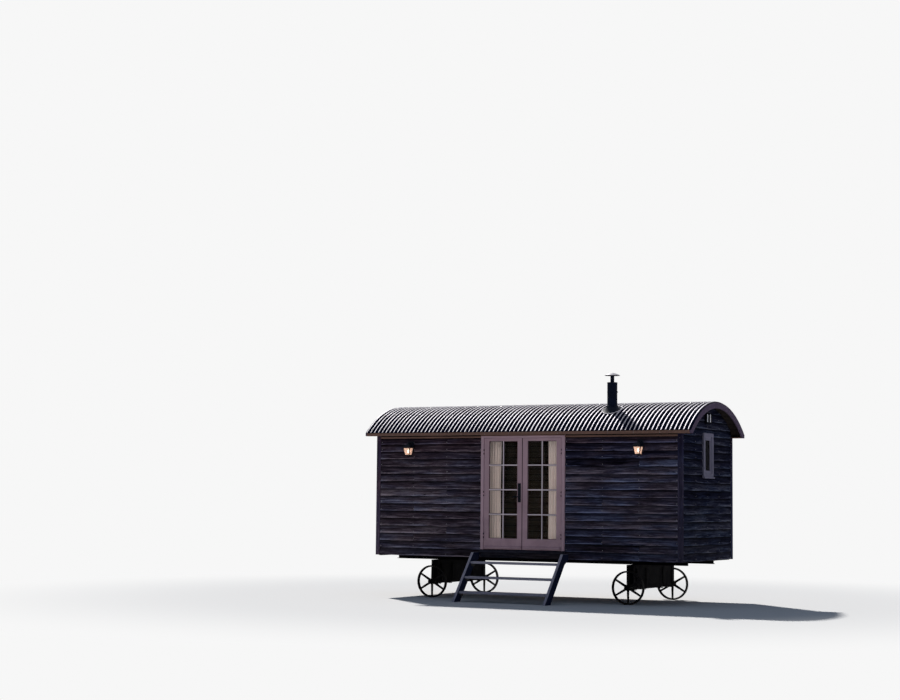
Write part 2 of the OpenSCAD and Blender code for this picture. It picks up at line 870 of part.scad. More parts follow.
// A four-sided tapering block on the plane Z = 0
module lantern_block(w_low, w_high, h) {
    reach = max(w_low, w_high);
    intersection() {
        along_x(-reach, reach) tapered_outline(w_low, w_high, h);
        along_y(-reach, reach) tapered_outline(w_low, w_high, h);
    }
}

module tapered_outline(w_low, w_high, h) {
    polygon([[-w_low / 2, 0], [w_low / 2, 0], [w_high / 2, h], [-w_high / 2, h]]);
}

module lantern_frame() {
    w_low = lantern_w * lantern_taper;
    window_w_low = w_low - 2 * lantern_bar_t;
    translate([lantern_x, lantern_centre_y, lantern_bottom_z]) {
        difference() {
            lantern_block(w_low, lantern_w, lantern_glass_h);
            translate([0, 0, -0.01])
                lantern_block(w_low - 8, lantern_w - 8, lantern_glass_h + 0.02);
            for (a = [0, 90]) rotate(a) translate([0, lantern_w, 0]) rotate([90, 0, 0])
                linear_extrude(2 * lantern_w) polygon([
                    [-window_w_low / 2, lantern_bar_t], [window_w_low / 2, lantern_bar_t],
                    [lantern_w / 2 - lantern_bar_t - 2, lantern_glass_h - lantern_bar_t],
                    [-lantern_w / 2 + lantern_bar_t + 2, lantern_glass_h - lantern_bar_t],
                ]);
        }
        translate([0, 0, -10]) lantern_block(w_low * 0.7, w_low, 10);
        translate([0, 0, lantern_glass_h]) lantern_block(lantern_w + 2 * lantern_brim, lantern_w + 2 * lantern_brim, 5);
        translate([0, 0, lantern_glass_h + 5]) lantern_block(lantern_w + lantern_brim, 40, lantern_cap_h - 5);
        translate([0, 0, lantern_glass_h + lantern_cap_h - 2]) cylinder(r = 14, h = 26, $fn = 32);
    }
}

module lantern_bracket() {
    arm_z = lantern_top_z + lantern_cap_h + 14;
    plate_top_z = arm_z + 34;
    box(lantern_x - lantern_plate_w / 2, lantern_x + lantern_plate_w / 2,
        -half_width - lantern_plate_t, -half_width, plate_top_z - lantern_plate_h, plate_top_z);
    translate([lantern_x, -half_width - lantern_plate_t / 2, arm_z])
        rotate([90, 0, 0]) cylinder(r = lantern_arm_r, h = lantern_reach - lantern_plate_t / 2, $fn = 32);
}

module lanterns() {
    color(iron_colour) both_ends() {
        lantern_frame();
        lantern_bracket();
    }
}

module lantern_glass() {
    w_low = lantern_w * lantern_taper - 9;
    w_high = lantern_w - 9;
    color(lamp_glass_colour) both_ends()
        translate([lantern_x, lantern_centre_y, lantern_bottom_z]) difference() {
            lantern_block(w_low, w_high, lantern_glass_h);
            translate([0, 0, 3]) lantern_block(w_low - 6, w_high - 6, lantern_glass_h);
        }
}

// Flue

module flue_pipe() {
    neck_top = flue_top_z + flue_cap_gap;
    color(iron_colour) translate([flue_x, -flue_y, 0]) difference() {
        union() {
            translate([0, 0, flue_bottom_z]) cylinder(r = flue_r, h = flue_top_z - flue_bottom_z);
            translate([0, 0, flue_top_z - flue_wall]) cylinder(r = flue_neck_r, h = neck_top - flue_top_z + flue_wall);
        }
        translate([0, 0, flue_bottom_z - 1])
            cylinder(r = flue_r - flue_wall, h = flue_top_z - flue_bottom_z - flue_wall + 1);
        translate([0, 0, flue_top_z - 2 * flue_wall])
            cylinder(r = flue_neck_r - flue_wall, h = neck_top - flue_top_z + 3 * flue_wall);
    }
}

module flue_cap() {
    brim_z = flue_top_z + flue_cap_gap;
    color(iron_colour) translate([flue_x, -flue_y, brim_z]) rotate_extrude()
        polygon([
            [0, 0], [flue_cap_r, 0], [flue_cap_r, 6], [flue_cap_r * 0.72, flue_cap_h * 0.55],
            [flue_cap_r * 0.3, flue_cap_h], [0, flue_cap_h],
        ]);
}

// A sheet apron over the crests, with a collar round the pipe
module flue_flashing() {
    half = flue_r + flashing_margin;
    collar_h = 60;
    collar_z = arc_z(roof_r, flue_y);
    color(iron_colour) difference() {
        union() {
            intersection() {
                along_x(flue_x - half, flue_x + half) difference() {
                    roof_disc(roof_r + seat_gap + flashing_t);
                    roof_disc(roof_r + seat_gap);
                }
                box(flue_x - half, flue_x + half, -flue_y - half, -flue_y + half, roof_centre_z, beyond);
            }
            difference() {
                translate([flue_x, -flue_y, collar_z - 90]) cylinder(r = flue_r + 12, h = 90 + collar_h);
                along_x(flue_x - half, flue_x + half) roof_disc(roof_r + seat_gap);
            }
        }
        flue_hole(flue_r + seat_gap);
    }
}

// Steps

module step_stringers() {
    foot_y = -half_width - step_run;
    front_top_y = foot_y + step_slope * sill_bottom_z;
    heel_z = skirt_height - heel_drop;
    back_z = heel_z - heel_taper;
    back_y = foot_y + stringer_w + step_slope * back_z;
    color(step_colour) both_ends() along_x(stringer_inner_x, step_half_w) polygon([
        [foot_y, 0], [front_top_y, sill_bottom_z], [-half_width, sill_bottom_z], [-half_width, heel_z],
        [back_y, back_z], [foot_y + stringer_w, 0],
    ]);
}

module step_treads() {
    foot_y = -half_width - step_run;
    color(step_colour) for (k = [0 : tread_count - 1])
        let (
            z = first_tread_z + k * tread_rise,
            y = foot_y + step_slope * z + tread_inset
        )
        box(-stringer_inner_x, stringer_inner_x, y, y + tread_d, z - tread_t, z);
}

// Curtains

module curtain_pole() {
    bracket_x = pole_half_length - pole_bracket_inset;
    color(iron_colour) {
        translate([-pole_half_length, pole_y, pole_z]) rotate([0, 90, 0])
            cylinder(r = pole_r, h = 2 * pole_half_length, $fn = 32);
        both_ends() box(bracket_x - 8, bracket_x + 8, -room_half_width, pole_y, pole_z - 8, pole_z + 8);
    }
}

module curtain(side) {
    x0 = side < 0 ? -curtain_inner_x - curtain_w : curtain_inner_x;
    color(curtain_colour)
        box(x0, x0 + curtain_w, curtain_back_y, curtain_back_y + curtain_t,
            floor_top_z + curtain_floor_gap, pole_z - pole_r - seat_gap);
}

on_plan() chassis_rails();
on_plan() floor_bearers();
on_plan() axle(-1);  // left_axle
on_plan() axle(1);  // right_axle
on_plan() wheel(-1, -1);  // wheel_front_left
on_plan() wheel(1, -1);  // wheel_front_right
on_plan() wheel(-1, 1);  // wheel_back_left
on_plan() wheel(1, 1);  // wheel_back_right
on_plan() floor_panel();  // floor
on_plan() front_wall(-1);  // front_wall_left
on_plan() front_wall(1);  // front_wall_right
on_plan() front_wall_header();
on_plan() back_wall();
on_plan() end_wall(-1);  // left_end_wall
on_plan() end_wall(1);  // right_end_wall
on_plan() front_boards(-1);  // front_boards_left
on_plan() front_boards(1);  // front_boards_right
on_plan() back_boards();
on_plan() end_boards(-1);  // left_end_boards
on_plan() end_boards(1);  // right_end_boards
on_plan() corner_boards();
on_plan() skirt_board();
on_plan() roof_deck(-60, -roof_half_angle / 2);  // roof_deck_front_low
on_plan() roof_deck(-roof_half_angle / 2, 0);  // roof_deck_front_high
on_plan() roof_deck(0, roof_half_angle / 2);  // roof_deck_back_high
on_plan() roof_deck(roof_half_angle / 2, 60);  // roof_deck_back_low
on_plan() roof_sheets();
on_plan() eaves_front();
on_plan() eaves_back();
on_plan() bargeboard(-1);  // bargeboard_left
on_plan() bargeboard(1);  // bargeboard_right
on_plan() door_frame();
on_plan() threshold();
on_plan() door_hinges();
on_plan() door_leaf(-1);  // door_left
on_plan() door_glass(-1);  // door_left_glass
on_plan() door_handle();
on_plan() door_leaf(1);  // door_right
on_plan() door_glass(1);  // door_right_glass
on_plan() end_windows();
on_plan() window_glass();
on_plan() gable_lights();
on_plan() lanterns();
on_plan() lantern_glass();
on_plan() flue_pipe();
on_plan() flue_cap();
on_plan() flue_flashing();
on_plan() step_stringers();
on_plan() step_treads();
on_plan() curtain_pole();
on_plan() curtain(-1);  // curtain_left
on_plan() curtain(1);  // curtain_right
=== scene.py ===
"""Looks of the shepherds hut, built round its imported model.

The hut stands on the plane z = 0, in metres, with its front towards -Y and its length
along X. Each sub-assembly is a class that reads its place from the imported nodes, keeps
its own sizes as fields, and makes its pieces and their finishes.
"""

import logging
import math
import random
from dataclasses import dataclass
from enum import Enum
from typing import Callable, Sequence

import bmesh
import bpy
from mathutils import Matrix, Vector, noise


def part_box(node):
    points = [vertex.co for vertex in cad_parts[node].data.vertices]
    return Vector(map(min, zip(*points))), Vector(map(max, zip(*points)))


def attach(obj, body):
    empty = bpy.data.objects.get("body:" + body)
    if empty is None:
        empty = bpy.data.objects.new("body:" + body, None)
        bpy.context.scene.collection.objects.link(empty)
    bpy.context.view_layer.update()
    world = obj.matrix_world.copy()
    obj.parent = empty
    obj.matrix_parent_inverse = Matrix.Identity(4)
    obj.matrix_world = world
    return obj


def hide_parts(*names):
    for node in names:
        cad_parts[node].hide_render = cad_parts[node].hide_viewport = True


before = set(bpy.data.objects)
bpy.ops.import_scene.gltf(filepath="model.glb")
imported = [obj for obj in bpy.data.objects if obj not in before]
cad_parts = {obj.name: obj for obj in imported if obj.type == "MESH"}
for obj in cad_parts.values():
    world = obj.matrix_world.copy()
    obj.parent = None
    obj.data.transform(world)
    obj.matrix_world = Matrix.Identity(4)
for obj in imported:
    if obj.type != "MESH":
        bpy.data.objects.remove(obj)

LOG = logging.getLogger("hut")
Colour = tuple[float, float, float]
Outline = Sequence[tuple[float, float]]
Ring = list[Vector]
Piece = bpy.types.Object
Material = bpy.types.Material
WHITE: Colour = (1.0, 1.0, 1.0)
TO_FRONT = Vector((0, -1, 0))
# How far the sill of an end window reaches past its trim at the sides, and below it.
SILL_SIDE, SILL_DROP = 0.008, 0.013


class Slot(Enum):
    """The record's material slots named for the scene's own pieces."""

    CHASSIS_STEEL = "chassis_steel"
    CAST_WHEEL = "cast_wheel"
    WEATHERED_BOARDS = "weathered_boards"
    BOARD_TRIM = "board_trim"
    GALVANISED_SHEET = "galvanised_sheet"
    TAUPE_PAINT = "taupe_paint"
    BLACK_METAL = "black_metal"
    CLEAR_GLASS = "clear_glass"
    LAMP_GLASS = "lamp_glass"
    CURTAIN_CLOTH = "curtain_cloth"


class Side(Enum):
    """The four walls, seen from in front of the hut."""

    FRONT = "front"
    BACK = "back"
    LEFT = "left"
    RIGHT = "right"


class Axis(Enum):
    """The way that timber grain runs, as the number of its coordinate."""

    X = 0
    Y = 1
    Z = 2


# Meshes


def turns(count: int) -> list[float]:
    """Even angles round a full turn."""
    return [2 * math.pi * k / count for k in range(count)]


def spread(low: float, high: float, count: int) -> list[float]:
    """The two ends of a stretch and the places that part it into equal lengths."""
    return [low + (high - low) * k / count for k in range(count + 1)]


def clamp(value: float) -> float:
    """A value held between 0 and 1."""
    return min(max(value, 0.0), 1.0)


def facing(direction: Sequence[float], at: Sequence[float]) -> Matrix:
    """A place whose Z looks along a direction, for turned forms."""
    turn = Vector(direction).to_track_quat("Z", "Y").to_matrix().to_4x4()
    return Matrix.Translation(Vector(at)) @ turn


class Shape:
    """The points and faces of one piece while it is being made."""

    def __init__(self) -> None:
        """Starts with nothing in it."""
        self.points: Ring = []
        self.faces: list[tuple[int, ...]] = []
        self.marks: dict[str, list] = {}

    def loft(self, rings: Sequence[Sequence[Vector]], closed: bool = True, looped: bool = False) -> None:
        """Joins rings of as many points each into a skin, and fills the ends of a closed one.

        Args:
            rings: The rings, in order along the piece.
            closed: Whether each ring's last point joins its first.
            looped: Whether the last ring joins the first.
        """
        base, count, total = len(self.points), len(rings[0]), len(rings)
        for row in range(total if looped else total - 1):
            here, there = base + row * count, base + (row + 1) % total * count
            for i in range(count if closed else count - 1):
                j = (i + 1) % count
                self.faces.append((here + i, here + j, there + j, there + i))
        if closed and not looped:
            last = base + (total - 1) * count
            self.faces += [tuple(range(base, base + count)), tuple(range(last, last + count))]
        self.points += [Vector(point) for ring in rings for point in ring]

    def block(self, low: Sequence[float], high: Sequence[float]) -> None:
        """Adds an upright block between its lowest corner and the one opposite."""
        (x0, y0, z0), (x1, y1, z1) = low, high
        self.loft([[Vector((x, y, z)) for x, y in ((x0, y0), (x1, y0), (x1, y1), (x0, y1))] for z in (z0, z1)])

    def turned(self, profile: Outline, place: Matrix, steps: int = 24) -> None:
        """Adds a form turned about the Z of a place, from the radius and height of each ring."""
        self.loft([[place @ Vector((r * math.cos(a), r * math.sin(a), h)) for a in turns(steps)]
                   for r, h in profile])

    def tube(self, path: Sequence[Vector], radius: float, sides: int = 8, looped: bool = False) -> None:
        """Adds a round bar that follows a path.

        Args:
            path: Points along its middle.
            radius: Its radius.
            sides: Sides round the bar.
            looped: Whether the path joins its own start.
        """
        nearly_parallel, rings, last = 0.95, [], len(path) - 1
        side = Vector((0, 0, 1))
        for k, point in enumerate(path):
            before = path[k - 1] if looped or k else path[0]
            after = path[(k + 1) % len(path)] if looped or k < last else path[last]
            ahead = (after - before).normalized()
            if abs(ahead.dot(side)) > nearly_parallel:
                side = Vector((1, 0, 0)) if abs(ahead.x) < 0.9 else Vector((0, 1, 0))
            across = ahead.cross(side).normalized()
            side = across.cross(ahead).normalized()
            rings.append([point + radius * (math.cos(a) * across + math.sin(a) * side) for a in turns(sides)])
        self.loft(rings, looped=looped)

    def hoop(self, centre: Vector, across: Sequence[float], up: Sequence[float], wire: float, steps: int) -> None:
        """Adds a ring of wire; across and up reach from its centre to the wire, a quarter turn apart."""
        path = [centre + Vector(across) * math.sin(a) + Vector(up) * math.cos(a) for a in turns(steps)]
        self.tube(path, wire, 6, looped=True)

    def screw(self, at: Sequence[float], outward: Sequence[float], radius: float = 0.0042) -> None:
        """Adds the domed head of a screw or nail, at a point of a face that looks outward."""
        profile = ((radius, 0.0), (radius, 0.0004), (radius * 0.75, 0.0013), (radius * 0.3, 0.0017))
        self.turned(profile, facing(outward, at), 10)

    def build(self, name: str, finish: Material, smooth: float = 38.0) -> Piece:
        """Makes the object.

        Args:
            name: The piece's name.
            finish: Its material.
            smooth: Edges that turn by less than this many degrees are shaded smooth.

        Returns:
            The new object, linked to the scene.
        """
        mesh = bpy.data.meshes.new(name)
        mesh.from_pydata([tuple(p) for p in self.points], [], self.faces)
        for mark, values in self.marks.items():
            if isinstance(values[0], Vector):
                data = mesh.attributes.new(mark, "FLOAT_VECTOR", "POINT").data
                data.foreach_set("vector", [part for value in values for part in value])
            else:
                mesh.attributes.new(mark, "FLOAT", "POINT").data.foreach_set("value", values)
        work = bmesh.new()
        work.from_mesh(mesh)
        bmesh.ops.recalc_face_normals(work, faces=work.faces)
        work.to_mesh(mesh)
        work.free()
        mesh.shade_smooth()
        mesh.set_sharp_from_angle(angle=math.radians(smooth))
        mesh.materials.append(finish)
        made = bpy.data.objects.new(name, mesh)
        bpy.context.scene.collection.objects.link(made)
        return made


def ease_edges(piece: Piece, width: float) -> None:
    """Rounds the sharp edges of a piece with modifiers, its mesh left as it is.

    Args:
        piece: The object to soften.
        width: Width of the rounding.
    """
    weld = piece.modifiers.new("joined", "WELD")
    weld.merge_threshold = 0.00002
    bevel = piece.modifiers.new("eased", "BEVEL")
    bevel.width, bevel.segments = width, 2
    bevel.limit_method, bevel.angle_limit = "ANGLE", math.radians(50)
    bevel.use_clamp_overlap = True
    even = piece.modifiers.new("even", "WEIGHTED_NORMAL")
    even.keep_sharp, even.weight = True, 60


# Shading


def toned(colour: Colour, share: float) -> Colour:
    """A colour made darker or paler, no part of it past 1."""
    return tuple(min(part * share, 1.0) for part in colour)


class Signal:
    """An output in a shader tree; arithmetic with it adds the math nodes."""

    def __init__(self, wires: "Wires", socket: bpy.types.NodeSocket) -> None:
        """Keeps the output and the tree that it is in."""
        self.wires, self.socket = wires, socket

    def __add__(self, other: "Signal | float") -> "Signal":
        """The sum."""
        return self.wires.math("ADD", self, other)

    def __sub__(self, other: "Signal | float") -> "Signal":
        """What is left when another is taken off."""
        return self.wires.math("SUBTRACT", self, other)

    def __rsub__(self, other: float) -> "Signal":
        """What is left of a number."""
        return self.wires.math("SUBTRACT", other, self)

    def __mul__(self, other: "Signal | float") -> "Signal":
        """The product."""
        return self.wires.math("MULTIPLY", self, other)

    def __truediv__(self, other: "Signal | float") -> "Signal":
        """The quotient."""
        return self.wires.math("DIVIDE", self, other)

    def __rtruediv__(self, other: float) -> "Signal":
        """A number divided by it."""
        return self.wires.math("DIVIDE", other, self)

    def __abs__(self) -> "Signal":
        """Its size without its sign."""
        return self.wires.math("ABSOLUTE", self)


Feed = Signal | float | Sequence[float]


class Wires:
    """A shader tree with short calls for its nodes."""

    def __init__(self, tree: bpy.types.NodeTree) -> None:
        """Keeps the tree that the calls add to."""
        self.tree = tree

    def plug(self, socket: bpy.types.NodeSocket, value: Feed) -> None:
        """Feeds one input.

        Args:
            socket: The input.
            value: A signal, which is linked, or else a number, a vector or a colour.
        """
        if isinstance(value, Signal):
            self.tree.links.new(value.socket, socket)
        else:
            socket.default_value = (*value, 1.0) if socket.type == "RGBA" else value

    def node(self, kind: str, feeds: dict | None = None, **settings: object) -> bpy.types.Node:
        """Adds a node.

        Args:
            kind: The node's type, without its "ShaderNode".
            feeds: What its inputs are fed, by name or number.
            **settings: Properties of the node.

        Returns:
            The new node.
        """
        made = self.tree.nodes.new("ShaderNode" + kind)
        for name, value in settings.items():
            setattr(made, name, value)
        for key, value in (feeds or {}).items():
            self.plug(made.inputs[key], value)
        return made

    def take(self, kind: str, output: str | int, feeds: dict | None = None, **settings: object) -> Signal:
        """Adds a node and gives one of its outputs."""
        return Signal(self, self.node(kind, feeds, **settings).outputs[output])

    def math(self, operation: str, *values: Feed, **settings: object) -> Signal:
        """The outcome of a math node."""
        return self.take("Math", 0, dict(enumerate(values)), operation=operation, **settings)

    def span(self, value: Signal, low: Feed, high: Feed, to_low: Feed = 0.0, to_high: Feed = 1.0,
             **settings: object) -> Signal:
        """A value moved from one range to another, and held within it."""
        feeds = {"Value": value, "From Min": low, "From Max": high, "To Min": to_low, "To Max": to_high}
        return self.take("MapRange", "Result", feeds, **settings)

    def noise(self, vector: Signal, scale: Feed, detail: float = 4.0, roughness: float = 0.55,
              distortion: float = 0.0) -> Signal:
        """A noise value over the surface."""
        feeds = {"Scale": scale, "Detail": detail, "Roughness": roughness, "Distortion": distortion}
        return self.take("TexNoise", "Fac", {"Vector": vector, **feeds})

    def stretched(self, vector: Signal, scale: Feed) -> Signal:
        """A vector scaled by an amount along each axis."""
        return self.take("VectorMath", 0, {0: vector, 1: scale}, operation="MULTIPLY")

    def dot(self, first: Signal, second: Feed) -> Signal:
        """The dot product of two vectors."""
        return self.take("VectorMath", "Value", {0: first, 1: second}, operation="DOT_PRODUCT")

    def split(self, vector: Signal) -> list[Signal]:
        """The three parts of a vector."""
        return [Signal(self, part) for part in self.node("SeparateXYZ", {0: vector}).outputs]

    def blend(self, share: Feed, first: Feed, second: Feed) -> Signal:
        """A colour between two others."""
        return self.take("Mix", 2, {0: share, 6: first, 7: second}, data_type="RGBA")

    def tinted(self, colour: Signal, tint: Colour, share: Signal) -> Signal:
        """A colour multiplied by another, as far as a share."""
        return self.take("Mix", 2, {0: share, 6: colour, 7: tint}, data_type="RGBA", blend_type="MULTIPLY")

    def ramp(self, share: Signal, stops: Sequence[tuple[float, Colour]]) -> Signal:
        """Runs a value through a band of colours.

        Args:
            share: The value, from 0 to 1.
            stops: Places in the band and their colours.

        Returns:
            The colour there.
        """
        made = self.node("ValToRGB", {0: share})
        elements = made.color_ramp.elements
        while len(elements) < len(stops):
            elements.new(0.5)
        for element, (place, colour) in zip(elements, stops):
            element.position, element.color = place, (*colour, 1.0)
        return Signal(self, made.outputs["Color"])

    def bump(self, height: Signal, distance: float, strength: float) -> Signal:
        """A normal that a height pushes about."""
        return self.take("Bump", "Normal", {"Height": height, "Distance": distance, "Strength": strength})

    def effect(self, group: bpy.types.NodeTree, **feeds: Feed) -> dict[str, Signal]:
        """Places a shared effect in this tree and gives its outputs by name."""
        return {out.name: Signal(self, out) for out in self.node("Group", feeds, node_tree=group).outputs}


def shared(recipe: Callable[..., dict[str, Signal]], **usual: float) -> bpy.types.NodeTree:
    """Makes a node group of an effect.

    Args:
        recipe: Makes the effect's outputs from its wires, a vector and its values.
        **usual: The names of its values, and what they are unless a finish says otherwise.

    Returns:
        The group, which takes the vector and the values.
    """
    tree = bpy.data.node_groups.new(recipe.__name__, "ShaderNodeTree")
    tree.interface.new_socket(name="vector", in_out="INPUT", socket_type="NodeSocketVector")
    for name, value in usual.items():
        socket = tree.interface.new_socket(name=name, in_out="INPUT", socket_type="NodeSocketFloat")
        socket.default_value = value
    wires = Wires(tree)
    entry = tree.nodes.new("NodeGroupInput").outputs
    made = recipe(wires, **{name: Signal(wires, entry[name]) for name in ("vector", *usual)})
    for name in made:
        tree.interface.new_socket(name=name, in_out="OUTPUT", socket_type="NodeSocketFloat")
    leave = tree.nodes.new("NodeGroupOutput").inputs
    for name, signal in made.items():
        wires.plug(leave[name], signal)
    return tree


class Effects:
    """The shader effects that several finishes share."""

    def __init__(self) -> None:
        """Builds each effect once."""
        self.grain = shared(self.timber_grain, along=1.5, across=40.0, contrast=0.5)
        self.wear = shared(self.edge_wear, radius=0.004, strength=4.0, patches=12.0)
        self.dirt = shared(self.grime, patches=6.0, thick_below=0.5, gone_above=2.5, least=0.15)
        self.specks = shared(self.speckle, size=0.003, coverage=0.3)

    def timber_grain(self, wires: Wires, vector: Signal, along: Signal, across: Signal,
                     contrast: Signal) -> dict[str, Signal]:
        """Streaks that run along a board.

        Args:
            wires: The group's wires.
            vector: Coordinates, the first along the grain.
            along: How fine the streaks are along the grain.
            across: The same across it.
            contrast: How much they stand out, from 0 to 1.

        Returns:
            The streaks, and the fine fibres that give their height.
        """
        drawn = wires.stretched(vector, wires.take("CombineXYZ", 0, {0: along, 1: across, 2: across}))
        fibres = wires.noise(drawn, 4.3, 4.0, 0.7)
        both = wires.noise(drawn, 1.0, 8.0, 0.66, 0.5) * 0.60 + fibres * 0.40
        reach = (1.05 - contrast) * 0.5
        return {"streaks": wires.span(both, 0.5 - reach, reach + 0.5), "fibres": fibres}

    def edge_wear(self, wires: Wires, vector: Signal, radius: Signal, strength: Signal,
                  patches: Signal) -> dict[str, Signal]:
        """Where hands and weather rub the edges of a piece.

        Args:
            wires: The group's wires.
            vector: Coordinates over the piece.
            radius: How far the wear reaches from an edge.
            strength: How worn the edges are.
            patches: How fine the patches are that it comes and goes in.

        Returns:
            The mask of the worn places.
        """
        rounded = wires.take("Bevel", "Normal", {"Radius": radius}, samples=4)
        match = wires.dot(rounded, wires.take("NewGeometry", "Normal"))
        patchy = wires.span(wires.noise(vector, patches, 5.0, 0.5), 0.36, 0.62)
        return {"mask": wires.math("MULTIPLY", (1.0 - match) * strength, patchy, use_clamp=True)}

    def grime(self, wires: Wires, vector: Signal, patches: Signal, thick_below: Signal, gone_above: Signal,
              least: Signal) -> dict[str, Signal]:
        """Dust and splashes, thickest below one height, with only the least share left above another."""
        low_down = wires.span(wires.split(vector)[Axis.Z.value], gone_above, thick_below, least)
        return {"mask": low_down * wires.span(wires.noise(vector, patches, 7.0, 0.65), 0.38, 0.68)}

    def speckle(self, wires: Wires, vector: Signal, size: Signal, coverage: Signal) -> dict[str, Signal]:
        """Small specks, such as rust, bloom or casting sand.

        Args:
            wires: The group's wires.
            vector: Coordinates over the piece.
            size: Size of a speck.
            coverage: How much of the piece they cover, from 0 to 1.

        Returns:
            The mask of the specks and the height of the grain.
        """
        grain = wires.noise(vector, 1.0 / size, 3.0, 0.5)
        both = grain * 0.6 + wires.noise(vector, 9.0, 4.0, 0.5) * 0.4
        edge = 0.72 - coverage * 0.45
        return {"mask": wires.span(both, edge, edge + 0.1), "height": grain}


class Skin(Wires):
    """A material's tree, with what most finishes do to their colour."""

    def __init__(self, name: str, effects: Effects) -> None:
        """Starts a material.

        Args:
            name: Its name.
            effects: The shared effects.
        """
        self.material = bpy.data.materials.new(name)
        self.material.use_nodes = True
        self.material.node_tree.nodes.clear()
        super().__init__(self.material.node_tree)
        self.effects = effects
        self.own = self.take("TexCoord", "Object")

    def along(self, axis: Axis) -> Signal:
        """Turns the piece's own coordinates.

        Args:
            axis: The way that the first of them is to run.

        Returns:
            The coordinates in their new order.
        """
        parts = self.split(self.own)
        order = [axis.value, *(number for number in range(3) if number != axis.value)]
        return self.take("CombineXYZ", 0, {place: parts[number] for place, number in enumerate(order)})

    def grained(self, vector: Signal, along: float, across: float, contrast: float) -> list[Signal]:
        """The streaks and the fibres of timber grain."""
        return list(self.effect(self.effects.grain, vector=vector, along=along, across=across,
                                contrast=contrast).values())

    def specked(self, size: float, coverage: float) -> list[Signal]:
        """The mask and the height of small specks."""
        return list(self.effect(self.effects.specks, vector=self.own, size=size, coverage=coverage).values())

    def rubbed(self, colour: Signal, under: Colour, share: float, **feeds: float) -> Signal:
        """A colour worn off at the edges, as far as a share, to what lies under it."""
        return self.blend(self.effect(self.effects.wear, vector=self.own, **feeds)["mask"] * share, colour, under)

    def dusted(self, colour: Signal, dust: Colour, share: float, **feeds: float) -> Signal:
        """A colour with dust and splashes on it, as far as a share."""
        return self.blend(self.effect(self.effects.dirt, vector=self.own, **feeds)["mask"] * share, colour, dust)

    def finish(self, inputs: dict[str, Feed]) -> Material:
        """Ends the tree in a Principled shader.

        Args:
            inputs: What it is fed, by name, with an underscore for each space.

        Returns:
            The material.
        """
        feeds = {name.replace("_", " "): value for name, value in inputs.items()}
        self.node("OutputMaterial", {"Surface": self.take("BsdfPrincipled", 0, feeds)})
        return self.material


# Finishes


@dataclass(frozen=True)
class Finish:
    """A finish, made into a material when it is first asked for."""

    name: str

    def make(self, effects: Effects) -> Material:
        """The material."""
        skin = Skin(self.name, effects)
        return skin.finish(self.inputs(skin))

    def inputs(self, skin: Skin) -> dict[str, Feed]:
        """What the Principled shader is fed, by input name."""
        raise NotImplementedError


